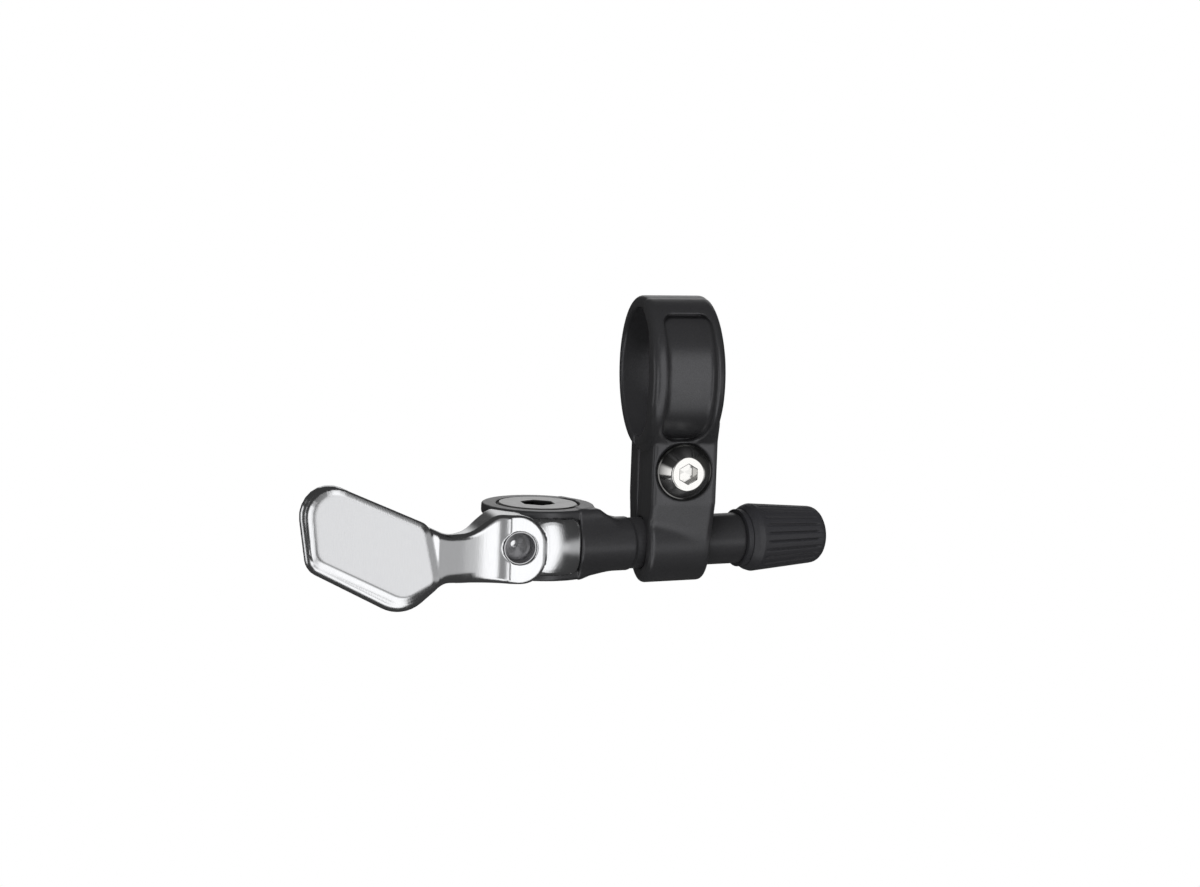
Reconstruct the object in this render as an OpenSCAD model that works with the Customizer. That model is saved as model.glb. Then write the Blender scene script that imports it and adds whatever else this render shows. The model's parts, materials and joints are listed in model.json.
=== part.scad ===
// Dropper post remote lever for a handlebar, in millimetres.
// The origin is the centre of the bar clamp. +X runs along the bar towards its middle,
// +Y points away from the rider and +Z points up. The remote's tube lies under the bar,
// skewed by tube_skew, and the lever turns on a vertical pivot beside the cable line.

/* [Bar clamp] */
// Diameter of the handlebar
bar_d = 22.2; // [22.2:0.1:25.4]
// Radial wall of the ring round the bar
ring_wall = 2.1; // [1.6:0.1:3]
// Width of the ring along the bar
ring_w = 11.5; // [9:0.5:14]
// Shift of the ring's middle along the bar
ring_shift = -0.55; // [-1.5:0.05:1.5]
// How far the front pad stands proud of the ring
pad_rise = 0.9; // [0.5:0.1:1.5]
// Width of the front pad at its face
pad_w = 12.4; // [11.5:0.1:14]
// Depth of the long pocket in the front pad
pocket_depth = 1.1; // [0.6:0.1:1.6]
// Width of the long pocket in the front pad
pocket_w = 8.4; // [6:0.1:9]

/* [Clamp strap] */
// Width of the two straps along the bar
strap_w = 11.6; // [10:0.2:14]
// Shift of the straps' middle along the bar
strap_shift = 0.5; // [-1.5:0.1:1.5]
// Depth from the bar's axis to the front face of the strap
strap_front = 8.0; // [7.4:0.1:9]
// Depth from the bar's axis to the rear face of the strap
strap_rear = 6.9; // [6.5:0.1:8]
// Width of the pinch slot
slot_w = 1.0; // [0.6:0.1:1.6]
// Distance of the pinch slot behind the bar's axis
slot_offset = 1.2; // [0.6:0.1:1.8]
// Drop from the bar's axis to the axis of the remote's tube
eye_drop = 29.4; // [28.5:0.1:32]
// Radial wall of the eye round the tube
eye_wall = 2.45; // [2:0.05:3.2]

/* [Clamp bolt] */
// Thread diameter of the clamp bolt
clamp_bolt_d = 5; // [4:0.5:5]
// Diameter of the bolt's tapered head where it seats
clamp_head_d = 9.6; // [8.5:0.1:10]
// Diameter of the bolt's head at its top
clamp_head_top_d = 5.8; // [5.2:0.1:7]
// Height of the bolt's head above the strap
clamp_head_h = 2.8; // [2:0.1:3.4]
// Depth of the round seat in the strap's face
clamp_seat_depth = 0.4; // [0.2:0.1:0.8]
// Socket width across flats in the clamp bolt
clamp_hex = 3; // [2.5:0.5:4]

/* [Remote tube] */
// Angle between the tube and the bar, seen from above
tube_skew = 13; // [8:0.5:16]
// Diameter of the tube inside the clamp
tube_d = 8.8; // [8.6:0.1:9.4]
// Diameter of the tube's thicker end beside the lever
root_d = 9.3; // [9.2:0.1:9.8]
// Running clearance of the tube in the clamp's eye
eye_gap = 0.05; // [0.02:0.01:0.08]
// Distance from the clamp's middle to the tube's far end
tube_reach = 13.5; // [12.5:0.1:16]
// Distance from the clamp's middle to the tube's shoulder
shoulder_at = 8.2; // [7.6:0.1:9]
// Diameter of the cable's way through the tube
cable_way_d = 2.2; // [1.8:0.1:2.4]

/* [Fork and pivot] */
// Distance from the clamp's middle to the pivot, along the tube
pivot_along = 22; // [21:0.1:24]
// Offset of the pivot from the cable line
pivot_offset = 6.5; // [6:0.1:7]
// Diameter of the fork's round plates
plate_d = 19.4; // [18.6:0.1:20]
// Height of the upper plate's top above the tube's axis
plate_top = 6.85; // [6.6:0.05:7.4]
// Thickness of the upper plate
upper_plate_t = 2.2; // [2:0.1:2.4]
// Depth of the lower plate's underside below the tube's axis
plate_bottom = 5.5; // [5.3:0.05:6]
// Thickness of the lower plate
lower_plate_t = 1.8; // [1.5:0.1:2]
// Diameter of the pivot bolt's flat head
pivot_head_d = 14; // [12:0.2:15]
// Thickness of the pivot bolt's head
pivot_head_t = 1.5; // [1.2:0.1:1.6]
// Diameter of the pivot bolt's shank
pivot_bolt_d = 7; // [6.6:0.1:7.2]
// Socket width across flats in the pivot bolt
pivot_hex = 5; // [4:0.5:5]
// Wall of the sleeve that the bushes turn on
sleeve_wall = 0.7; // [0.5:0.05:0.8]
// Wall of the two bushes
bush_wall = 0.75; // [0.6:0.05:0.9]
// Thickness of the bushes' flanges
bush_flange_t = 0.5; // [0.4:0.05:0.7]
// Thickness of each shim between lever and fork
shim_t = 0.3; // [0.2:0.05:0.4]
// Running clearance between sleeve and bushes
pivot_gap = 0.03; // [0.02:0.01:0.06]

/* [Lever] */
// Radius of the lever's curved front wall about the pivot
wall_r = 11.5; // [11.3:0.1:12.2]
// Gap between the fork's plates and the lever's front wall
plate_gap = 0.3; // [0.25:0.05:0.5]
// Height of the lever's top above the tube's axis
lever_top = 6.3; // [5.8:0.1:6.8]
// Depth of the lever's underside below the tube's axis
lever_bottom = 5.1; // [4.6:0.1:5.4]
// Distance from the pivot to the flat pad with the cable hole
front_reach = 12.2; // [12:0.1:12.8]
// Distance from the pivot to the thumb paddle's face
paddle_reach = 14.9; // [14.4:0.1:15.6]
// Thickness of the thumb paddle
paddle_t = 3.2; // [2.6:0.1:3.8]
// Distance from the front pad back to the rear of the arm
arm_depth = 7.8; // [7.6:0.1:8.6]
// Width of the bevel round the paddle's face
bevel_w = 1.1; // [0.6:0.1:1.4]
// Height of the bevel round the paddle's face
bevel_h = 0.5; // [0.3:0.1:0.8]
// Radius of the scoop between paddle and pad
scoop_r = 20; // [17:0.5:24]
// Depth of the scoop below the flat pad
scoop_depth = 0.6; // [0.3:0.1:0.8]
// Diameter of the cable hole in the pad
cable_hole_d = 5.6; // [5.2:0.1:6]
// Distance from the pivot's plane to the floor of the cable hole
cable_hole_floor = 6.6; // [6.2:0.1:6.8]
// Height of the cable hole's centre above the tube's axis
cable_hole_rise = 0.7; // [0:0.1:1]

/* [Return spring] */
// Wire diameter of the return spring
spring_wire = 0.9; // [0.7:0.05:1]
// Mean radius of the return spring's coils
spring_r = 7.15; // [7.05:0.05:7.25]
// Number of coils in the return spring
spring_turns = 2.5; // [1.5:0.25:2.75]

/* [Adjuster] */
// Diameter of the knob at its wide end
knob_d = 11.8; // [11:0.1:13]
// Diameter of the knob at its narrow end
knob_end_d = 9.7; // [9:0.1:10.6]
// Length of the knob
knob_len = 15.2; // [14:0.2:18]
// Number of grooves round the knob
knob_grooves = 18; // [12:2:24]
// Depth of the knob's grooves
groove_depth = 0.3; // [0.15:0.05:0.4]
// Diameter of the hollow adjuster screw
screw_d = 4.5; // [4.2:0.1:4.6]
// Diameter of the screw's head inside the knob
screw_head_d = 6.8; // [6.6:0.1:7.2]
// Diameter of the socket for the cable housing's ferrule
ferrule_d = 5.2; // [5:0.1:5.4]
// Depth of the socket for the cable housing's ferrule
ferrule_depth = 9.5; // [7:0.5:10]
// Diameter of the detent ring between tube and knob
detent_d = 10; // [9.4:0.1:10.6]
// Thickness of the detent ring
detent_t = 0.9; // [0.7:0.1:1.2]
// Gap between tube, detent ring and knob
adjuster_gap = 0.1; // [0.05:0.05:0.2]

/* [Hidden] */
$fn = 64;
thread_gap = 0.02; // radial gap of the plain cylinders that stand for threads
over = 1; // how far a cutting shape runs past a face
far = 80; // a length that passes through every piece

bar_r = bar_d / 2;
ring_r = bar_r + ring_wall;
tube_r = tube_d / 2;
root_r = root_d / 2;
eye_bore_r = tube_r + eye_gap;
eye_r = eye_bore_r + eye_wall;
strap_x0 = strap_shift - strap_w / 2;
pad_shift = ring_shift - 0.4; // the pad leans outboard of the ring
pad_fade = 65; // angle from the front at which the pad meets the ring's own surface
pad_lead = pad_rise / (1 - cos(pad_fade)); // how far the pad's axis lies in front of the bar's
pad_turn_r = ring_r + pad_rise - pad_lead;
pocket_end = 10.9; // the pocket's ends above and below the bar's axis
pocket_round = 3.4; // corner radius at the pocket's lower end
pocket_lean = 0.5; // the pocket's shift from the pad's middle
pad_depth = 4; // radial depth of the pad's profile
pad_full = 4; // the pad's full width reaches this far above and below the bar's axis
pad_rear = 3.2; // the pad ends inside the ring this far in front of the bar's axis
pad_flank = 0.6; // how far each flank slopes out from face to root
strap_crown_z = -5; // height where the straps' outline starts inside the ring
strap_flare = 1.8; // how far the straps widen inside the ring
knee_drop = 0.8; // the straps' knee below the bolt's seat

clamp_bolt_x = strap_shift - 0.2;
clamp_bolt_lift = 1.9; // how far the bolt lies above the middle of the straps
clamp_bolt_z = -(bar_r + eye_drop - eye_bore_r) / 2 + clamp_bolt_lift;
clamp_bolt_r = clamp_bolt_d / 2;
clamp_bolt_gap = 0.15;
head_rim = 0.6; // thickness of the rim under the bolt's tapered head
head_step = 0.3; // how far the rim stands out of the taper
shank_short = 0.3; // the shank ends this far inside the nut's face
strap_foot = 0.93; // share of the eye's radius at which the straps meet it
nut_r = clamp_bolt_r + 1.1;
nut_flange_r = nut_r + 0.9;
nut_flange_t = 0.8;
nut_len = strap_rear - slot_offset - slot_w / 2 - 0.6;

pivot_r = pivot_bolt_d / 2;
plate_r = plate_d / 2;
upper_in = plate_top - upper_plate_t; // underside of the upper plate
lower_in = -(plate_bottom - lower_plate_t); // upper side of the lower plate
head_gap = 0.15; // radial gap round the pivot bolt's head
pivot_lip = 0.35; // chamfer on the pivot bolt's head
pivot_socket = 4; // depth of the pivot bolt's socket
pivot_proud = 0.1; // how far the pivot bolt's head stands above the plate
sleeve_r = pivot_r + sleeve_wall;
bush_in_r = sleeve_r + pivot_gap;
bush_r = bush_in_r + bush_wall;
flange_r = bush_r + 0.9;
boss_r = flange_r + 0.35; // the lever's boss round the pivot
hub_top = upper_in - shim_t - bush_flange_t;
hub_bottom = lower_in + shim_t + bush_flange_t;
web_top = upper_in - plate_gap;
web_bottom = lower_in + plate_gap;
bush_len = 2.8;
shim_r = flange_r;

skew = [cos(tube_skew), sin(tube_skew)];
pivot_pos = [
    -pivot_along * skew.x - pivot_offset * skew.y,
    -pivot_along * skew.y + pivot_offset * skew.x,
    -eye_drop
];

pocket_r = plate_r + plate_gap; // room for the plates inside the lever's front wall
wall_end = 5.3; // the front wall's end, inboard of the pivot
stop_gap = 0.2; // gap between the wall's end and the perch
web_face = wall_end + stop_gap;
wall_room = 0.3; // gap round the front wall as it swings
spring_room_r = spring_r + spring_wire / 2 + 0.35;
hole_along = 5.8; // the cable hole's distance outboard of the pivot
seat_wall = 0.5;
seat_inset = 0.9; // how far the cable seat lies below the pad
seat_floor = 0.8;
seat_cone = 0.8; // depth of the cone at the seat's floor
seat_r = cable_hole_d / 2;
cable_hole_depth = front_reach - cable_hole_floor;

lever_shoulder = -9.7; // the lever's full height ends here, from the pivot
neck_ends = [-14.2, -18.84]; // the neck's top lies between these places
neck_under = [-12, -19.4]; // the neck's underside lies between these places
neck_top = 3.15; // the neck's top above the tube's axis
neck_bottom = 4.8; // the neck's underside below the tube's axis
pad_end = 1.2; // the pad's round end, outboard of the pivot
scoop_at = -11.6; // the scoop's deepest place, from the pivot
scoop_end_r = 6; // radius that leads from the scoop to the pad
arm_swell = 2.8; // how far past the scoop's middle the arm keeps its depth
paddle_lap = 1.4; // how far the paddle's back runs past the scoop's start
paddle_corners = [[-45.68, 15.02, 5.1], [-42.96, -2.73, 3.5], [-26.19, -10.67, 6.2]];
face_corners = [ // corners of the face, each with the way it moves in by 1 mm and its radius
    [-42.64, 12.38, 0.99, -1.08, 3.6],
    [-41.21, -0.54, 0.68, 0.81, 2.4],
    [-26.2, -7.5, -0.09, 1.13, 3.4],
    [-21.2, -4.5, -0.77, 0.36, 1],
    [-23.15, 4.28, -0.68, -0.45, 1.6]
];

root_top = 7.6; // the root's full height reaches this far from the pivot's plane
root_foot = 8; // the same on the root's underside
root_reach = 10.6; // the root meets the tube this far from the pivot's plane
root_flank = [10.2, 1.5]; // the root's side, from the pivot's plane and axis
root_side = 6.5; // the root's side meets the plates this far from the pivot's plane

stop_r = 0.8;
stop_len = 1.8;
stop_front = 8.2; // the stop's distance in front of the pivot
stop_rise = 2.1; // the stop's height above the tube's axis
stop_proud = 0.15; // how far the stop stands out of the perch

spring_pitch = spring_wire + 0.1;
spring_h = spring_wire + spring_pitch * spring_turns;
spring_lift = 0.05; // gap between the spring and the lower plate
spring_start = 20; // angle of the spring's lower leg
spring_end = spring_start + 360 * spring_turns;
leg_down = 1.7; // length of the lower leg, from the middle of the first coil
leg_up = 1.6; // length of the upper leg, from the middle of the last coil
leg_gap = 0.1; // gap round each leg in its hole
leg_hole_r = spring_wire / 2 + leg_gap;

screw_r = screw_d / 2;
screw_gap = 0.05;
screw_head_r = screw_head_d / 2;
ferrule_r = ferrule_d / 2;
screw_tip = 0.5; // the screw's inner end along the tube
well_floor = tube_reach - 4.7; // floor of the spring's well in the tube's end
well_r = 3.55;
detent_at = tube_reach + adjuster_gap;
knob_at = detent_at + detent_t + adjuster_gap;
knob_end = knob_at + knob_len;
seal_at = knob_end - 3.2;
seal_r = 0.25;
seal_gap = 0.02; // gap round the seal ring in its groove
key_r = well_r + 0.45;
key_w = 1.2;
key_gap = 0.08;
key_at = well_floor + 0.1; // the keys' inner ends
key_slot_at = key_at - 0.9; // where the slots for the keys start
detent_wire = 0.5;
detent_coil_r = screw_r + 0.2 + detent_wire / 2;

knob_collar = [[0.8, 0], [0.25, 0.9], [0, 1.7]]; // steps in from the wide end, with their places

liner_r = cable_way_d / 2;
liner_wall = 0.35;

// The rounded outline through corners given as [x, y, radius], each arc in steps pieces
function unit(v) = v / norm(v);
function corner_arc(a, b, c, r, steps) =
    let (
        p = unit(a - b),
        q = unit(c - b),
        half = acos(p * q) / 2,
        centre = b + unit(p + q) * r / sin(half),
        from = b + p * r / tan(half) - centre,
        to = b + q * r / tan(half) - centre,
        start = atan2(from.y, from.x),
        turn = (atan2(to.y, to.x) - start + 540) % 360 - 180
    )
    [for (i = [0:steps]) centre + r * [cos(start + turn * i / steps), sin(start + turn * i / steps)]];
function flat(p) = [p.x, p.y];
function rounded(corners, steps = 6) =
    let (n = len(corners))
    [
        for (i = [0:n - 1])
            each corners[i][2] > 0
                ? corner_arc(flat(corners[(i + n - 1) % n]), flat(corners[i]), flat(corners[(i + 1) % n]),
                             corners[i][2], steps)
                : [flat(corners[i])]
    ];

// The same for an open run of corners, without its first point and with its last left as it is
function rounded_run(corners, steps = 6) =
    let (n = len(corners))
    [
        for (i = [1:n - 1])
            each i < n - 1 && corners[i][2] > 0
                ? corner_arc(flat(corners[i - 1]), flat(corners[i]), flat(corners[i + 1]),
                             corners[i][2], steps)
                : [flat(corners[i])]
    ];

// Moves children from the tube's own axes, x along the tube, to their place
module on_tube() {
    translate([0, 0, -eye_drop]) rotate([0, 0, tube_skew]) children();
}

// Turns a shape with its axis along Z to lie along the tube, starting at the given distance
module along_tube(at) {
    on_tube() translate([at, 0, 0]) rotate([0, 90, 0]) children();
}

// Moves children to the pivot, at the height of the tube's axis
module at_pivot() {
    translate(pivot_pos) children();
}

// Extrudes a side view, drawn as x and height, from front to back between two depths
module side_view(y0, y1) {
    translate([0, y1, 0]) rotate([90, 0, 0]) linear_extrude(height = y1 - y0) children();
}

// A plain tube or ring along Z
module ring(outer, inner, h) {
    difference() {
        cylinder(r = outer, h = h);
        translate([0, 0, -over]) cylinder(r = inner, h = h + 2 * over);
    }
}

// A helical coil of round wire along Z, with eight sides, and a straight leg of the given
// length down from its start and up from its end; a bend's ring is cut on the mitre
module coil(mean_r, wire, pitch, turns, steps = 20, legs = [0, 0]) {
    last = ceil(turns * steps);
    sides = 8;
    up = [0, 0, 1];
    frames = [
        for (i = [0:last])
            let (
                turn = turns * i / last,
                out = [cos(360 * turn), sin(360 * turn), 0],
                along = [-out.y, out.x, 0],
                middle = mean_r * out + (wire / 2 + pitch * turn) * up,
                leg = i == 0 ? -legs[0] : i == last ? legs[1] : 0,
                bend = [middle, out, leg == 0 ? up : up - along],
                tip = [middle + leg * up, out, -along]
            )
            each (leg < 0 ? [tip, bend] : leg > 0 ? [bend, tip] : [bend])
    ];
    points = [
        for (frame = frames)
            for (k = [0:sides - 1])
                let (b = 360 * k / sides)
                frame[0] + wire / 2 * (cos(b) * frame[1] + sin(b) * frame[2])
    ];
    end = len(frames) - 1;
    faces = concat(
        [[for (k = [0:sides - 1]) k]],
        [[for (k = [sides - 1:-1:0]) end * sides + k]],
        [
            for (i = [0:end - 1])
                for (k = [0:sides - 1])
                    let (a = i * sides + k, b = i * sides + (k + 1) % sides)
                    [a, a + sides, b + sides, b]
        ]
    );
    polyhedron(points = points, faces = faces);
}

// The one-piece clamp: ring round the bar, two straps and the eye round the tube
module clamp_band() {
    color("#1c1c1f")
    difference() {
        union() {
            translate([ring_shift - ring_w / 2, 0, 0]) rotate([0, 90, 0]) cylinder(r = ring_r, h = ring_w);
            clamp_pad();
            clamp_straps();
            intersection() {
                along_tube(-far / 2) cylinder(r = eye_r, h = far);
                strap_slab();
            }
        }
        translate([-far / 2, 0, 0]) rotate([0, 90, 0]) cylinder(r = bar_r, h = far, $fn = 96);
        along_tube(-far / 2) cylinder(r = eye_bore_r, h = far);
        translate([strap_x0 - over, slot_offset - slot_w / 2, -eye_drop])
            cube([strap_w + 2 * over, slot_w, eye_drop - bar_r + over]);
        clamp_pocket();
        clamp_holes();
    }
}

module strap_slab() {
    translate([strap_x0, -far / 2, -far]) cube([strap_w, far, far]);
}

// The straps in their side view: flat in front and behind, drawn in to the eye below
module clamp_straps() {
    knee = clamp_bolt_z - clamp_head_d / 2 - knee_drop;
    foot = eye_r * strap_foot;
    outline = rounded([
        [-strap_front - strap_flare, strap_crown_z, 0],
        [-strap_front, -bar_r, 3],
        [-strap_front, knee, 2],
        [-foot, -eye_drop, 0],
        [foot, -eye_drop, 0],
        [strap_rear, knee, 2],
        [strap_rear, -bar_r, 3],
        [strap_rear + strap_flare, strap_crown_z, 0]
    ]);
    translate([strap_x0, 0, 0]) rotate([90, 0, 90]) linear_extrude(height = strap_w) polygon(outline);
}

// The thick front pad of the ring, with sloping flanks, turned about an axis in front of
// the bar's, so that it fades into the ring above and below
module clamp_pad() {
    half_out = pad_w / 2;
    half_in = half_out + pad_flank;
    edge = 0.9;
    intersection() {
        translate([0, -pad_lead, 0]) rotate([0, 90, 0]) rotate_extrude($fn = 96)
            polygon(rounded([
                [pad_turn_r - pad_depth, pad_shift - half_in, 0],
                [pad_turn_r, pad_shift - half_out, edge],
                [pad_turn_r, pad_shift + half_out, edge],
                [pad_turn_r - pad_depth, pad_shift + half_in, 0]
            ], 5));
        side_view(-far / 2, -pad_rear) polygon(rounded(pad_front(half_in)));
    }
}

// The pad's front view: full width in the middle, within the ring's width at its ends
function pad_front(half_in) =
    let (end = ring_w / 2 - 0.1, wide = half_in + over)
    [
        [ring_shift - end, -ring_r, 0],
        [ring_shift + end, -ring_r, 0],
        [pad_shift + wide, -pad_full, 3],
        [pad_shift + wide, pad_full, 3],
        [ring_shift + end, ring_r, 0],
        [ring_shift - end, ring_r, 0],
        [pad_shift - wide, pad_full, 3],
        [pad_shift - wide, -pad_full, 3]
    ];

// The long recess in the pad: a front view with round corners, cut down to a round floor
module clamp_pocket() {
    x0 = pad_shift + pocket_lean - pocket_w / 2;
    x1 = x0 + pocket_w;
    intersection() {
        side_view(-far / 2, -over)
            polygon(rounded([
                [x0, -pocket_end, pocket_round],
                [x1, -pocket_end, pocket_round],
                [x1, pocket_end, pocket_round / 2],
                [x0, pocket_end, pocket_round / 2]
            ]));
        translate([-far / 2, -pad_lead, 0]) rotate([0, 90, 0]) ring(far / 2, pad_turn_r - pocket_depth, far);
    }
}

// The holes and seats of the clamp bolt and its nut
module clamp_holes() {
    nut_face = strap_rear - nut_flange_t;
    translate([clamp_bolt_x, 0, clamp_bolt_z]) rotate([90, 0, 0]) {
        translate([0, 0, -far / 2]) cylinder(r = clamp_bolt_r + clamp_bolt_gap, h = far);
        translate([0, 0, strap_front - clamp_seat_depth])
            cylinder(r = clamp_head_d / 2 + clamp_bolt_gap, h = far / 2);
        translate([0, 0, -strap_rear - over]) cylinder(r = nut_flange_r, h = nut_flange_t + over);
        translate([0, 0, -nut_face]) cylinder(r = nut_r, h = nut_len - nut_flange_t);
    }
}

// The clamp bolt: tapered head with a hexagon socket, and a shank through both straps
module clamp_bolt() {
    seat = strap_front - clamp_seat_depth;
    shank = seat + strap_rear - shank_short;
    taper_h = clamp_head_h + clamp_seat_depth - head_rim;
    color("#d9d9dc")
    translate([clamp_bolt_x, 0, clamp_bolt_z]) rotate([90, 0, 0]) translate([0, 0, seat])
    difference() {
        union() {
            cylinder(d = clamp_head_d, h = head_rim);
            translate([0, 0, head_rim])
                cylinder(d1 = clamp_head_d - 2 * head_step, d2 = clamp_head_top_d, h = taper_h);
            translate([0, 0, -shank]) cylinder(r = clamp_bolt_r, h = shank);
        }
        translate([0, 0, head_rim]) cylinder(d = clamp_hex / cos(30), h = clamp_head_h + over, $fn = 6);
    }
}

// The flanged nut pressed into the rear strap
module clamp_nut() {
    color("#9a9a9e")
    translate([clamp_bolt_x, strap_rear, clamp_bolt_z]) rotate([90, 0, 0])
    difference() {
        union() {
            cylinder(r = nut_flange_r, h = nut_flange_t);
            cylinder(r = nut_r, h = nut_len);
        }
        translate([0, 0, -over]) cylinder(r = clamp_bolt_r + thread_gap, h = nut_len + 2 * over);
    }
}

// The perch: round fork plates for the lever, a web behind the front wall's end, and the tube
module perch_body() {
    color("#202024")
    difference() {
        union() {
            difference() {
                union() {
                    fork_root();
                    along_tube(-pivot_along) cylinder(r = root_r, h = pivot_along - shoulder_at);
                    at_pivot() translate([0, 0, -plate_bottom])
                        cylinder(r = plate_r, h = plate_bottom + plate_top);
                }
                lever_room();
            }
            at_pivot() translate([0, 0, upper_in]) cylinder(r = plate_r, h = upper_plate_t);
            at_pivot() translate([0, 0, -plate_bottom]) cylinder(r = plate_r, h = lower_plate_t);
            along_tube(-shoulder_at - 0.6) cylinder(r1 = root_r, r2 = tube_r, h = 0.8);
            along_tube(-shoulder_at) cylinder(r = tube_r, h = shoulder_at + tube_reach);
        }
        pivot_holes();
        along_tube(-pivot_along) cylinder(r = liner_r, h = far);
        along_tube(screw_tip - 1.5) cylinder(r = screw_r + screw_gap, h = far);
        along_tube(well_floor) cylinder(r = well_r, h = far);
        for (side = [0, 180])
            on_tube() rotate([side, 0, 0])
                translate([key_slot_at, -key_w / 2 - key_gap, 0])
                    cube([far, key_w + 2 * key_gap, key_r + key_gap]);
        stop_hole();
        at_pivot() spring_leg_place(spring_start) translate([0, 0, spring_wire / 2 - leg_down - leg_gap])
            cylinder(r = leg_hole_r, h = leg_down + leg_gap);
    }
}

// The fork's root: full height at the plates, drawn down and in to the tube
module fork_root() {
    tube_end = -pivot_along + root_reach;
    taper_end = tube_end + 2;
    intersection() {
        on_tube() side_view(-far / 2, far / 2)
            polygon(rounded([
                [-pivot_along, -plate_bottom, 0],
                [-pivot_along + root_foot, -plate_bottom, 1.5],
                [tube_end, -root_r * 0.97, 2],
                [taper_end, -root_r * 0.6, 0],
                [taper_end, root_r * 0.6, 0],
                [tube_end, root_r * 0.97, 2],
                [-pivot_along + root_top, plate_top, 1.2],
                [-pivot_along, plate_top, 0]
            ], 5));
        on_tube() translate([0, 0, -plate_bottom])
            linear_extrude(height = plate_bottom + plate_top)
                polygon(rounded([
                    [-pivot_along + 3, -root_r * 0.6, 0],
                    [tube_end, -root_r * 0.5, 1],
                    [taper_end, 0, 0],
                    [taper_end - 1, root_r * 0.8, 1],
                    [-pivot_along + root_flank.x, pivot_offset + root_flank.y, 3],
                    [-pivot_along + root_side, pivot_offset + plate_r * 0.74, 0],
                    [-pivot_along + 3, pivot_offset, 0]
                ], 5));
    }
}

// Room in the perch for the lever's web, its front wall and the return spring
module lever_room() {
    swing_r = wall_r + wall_room;
    at_pivot() {
        intersection() {
            translate([0, 0, -far / 2]) cylinder(r = swing_r, h = far);
            translate([web_face - far, -far / 2, -far / 2]) cube([far, far, far]);
        }
        translate([0, 0, lower_in]) cylinder(r = spring_room_r, h = upper_in - lower_in);
    }
    // the tube stops at the lever, so nothing of it is left outboard of the front wall
    at_pivot() translate([web_face - far, -far, -far / 2]) cube([far, far - pivot_offset, far]);
}

// The seats of the pivot bolt and its sleeve in the fork
module pivot_holes() {
    at_pivot() {
        translate([0, 0, plate_top - pivot_head_t]) cylinder(r = pivot_head_d / 2 + head_gap, h = far);
        translate([0, 0, -plate_bottom - over])
            cylinder(r = pivot_r + thread_gap, h = lower_plate_t + 2 * over);
        translate([0, 0, upper_in - over]) cylinder(r = pivot_r + head_gap, h = upper_plate_t + over);
    }
}

// The blind hole of the rubber stop, in the face that meets the front wall's end
module stop_hole() {
    stop_place() translate([0, 0, -over]) cylinder(r = stop_r, h = stop_len + over);
}

module stop_place() {
    at_pivot() translate([web_face, -stop_front, stop_rise]) rotate([0, 90, 0]) children();
}

// The rubber stop that the lever rests against
module rest_stop() {
    color("#303033")
    stop_place() translate([0, 0, -stop_proud]) cylinder(r = stop_r, h = stop_len + stop_proud);
}

// The pivot bolt: wide flat head, hexagon socket, threaded into the lower plate
module pivot_bolt() {
    top = plate_top + pivot_proud;
    seat = plate_top - pivot_head_t;
    color("#b8b8ba")
    at_pivot()
    difference() {
        union() {
            translate([0, 0, seat]) cylinder(d = pivot_head_d, h = top - pivot_lip - seat);
            translate([0, 0, top - pivot_lip])
                cylinder(d1 = pivot_head_d, d2 = pivot_head_d - 2 * pivot_lip, h = pivot_lip);
            translate([0, 0, -plate_bottom]) cylinder(r = pivot_r, h = plate_bottom + seat);
        }
        translate([0, 0, top - pivot_socket])
            cylinder(d = pivot_hex / cos(30), h = pivot_socket + over, $fn = 6);
    }
}

// The steel sleeve clamped between the plates, which the bushes turn on
module pivot_sleeve() {
    color("#c7c7cb")
    at_pivot() translate([0, 0, lower_in]) ring(sleeve_r, pivot_r, upper_in - lower_in);
}

// The shims between the bushes' flanges and the plates
module upper_shim() {
    color("#d2c28a")
    at_pivot() translate([0, 0, upper_in - shim_t]) ring(shim_r, sleeve_r + pivot_gap, shim_t);
}

module lower_shim() {
    color("#d2c28a")
    at_pivot() translate([0, 0, lower_in]) ring(shim_r, sleeve_r + pivot_gap, shim_t);
}

// The polymer tube that guides the cable from the screw to the lever
module cable_liner() {
    color("#e8e6df")
    intersection() {
        along_tube(-pivot_along) ring(liner_r, liner_r - liner_wall, pivot_along + screw_tip - 1.5);
        at_pivot() translate([web_face, -far / 2, -far / 2]) cube([far, far, far]);
    }
}

// The lever: thumb paddle, scooped neck, pad with the cable hole, curved front wall and hub
module lever() {
    color("#d6d7da")
    at_pivot()
    difference() {
        union() {
            intersection() {
                side_view(-far / 2, far / 2) polygon(lever_outline());
                translate([0, 0, -far / 2]) linear_extrude(height = far) polygon(arm_plan());
            }
            intersection() {
                side_view(-front_reach, -pivot_r) polygon(pad_outline());
                translate([0, 0, -far / 2]) linear_extrude(height = far) polygon(pad_plan());
            }
            intersection() {
                side_view(-far / 2, -boss_r / 2) polygon(lever_outline());
                translate([0, 0, -far / 2]) cylinder(r = wall_r, h = far, $fn = 96);
            }
            translate([0, 0, hub_bottom]) cylinder(r = boss_r, h = hub_top - hub_bottom);
            paddle_face();
        }
        for (z = [web_top, -far + web_bottom])
            translate([0, 0, z]) cylinder(r = pocket_r, h = far);
        translate([0, 0, -far / 2]) cylinder(r = bush_r, h = far);
        for (z = [hub_top, hub_bottom - far])
            translate([0, 0, z]) cylinder(r = flange_r + 0.1, h = far);
        spring_groove();
        cable_ways();
    }
}

// The lever's front view, from the wall's end round the paddle and back
function lever_outline() = rounded([
    [wall_end, -lever_bottom, 3],
    [wall_end, lever_top, 3],
    [lever_shoulder, lever_top, 3.6],
    [neck_ends[0], neck_top, 6],
    [neck_ends[1], neck_top, 7],
    each paddle_corners,
    [neck_under[1], -neck_bottom, 4],
    [neck_under[0], -neck_bottom, 0]
], 7);

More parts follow.
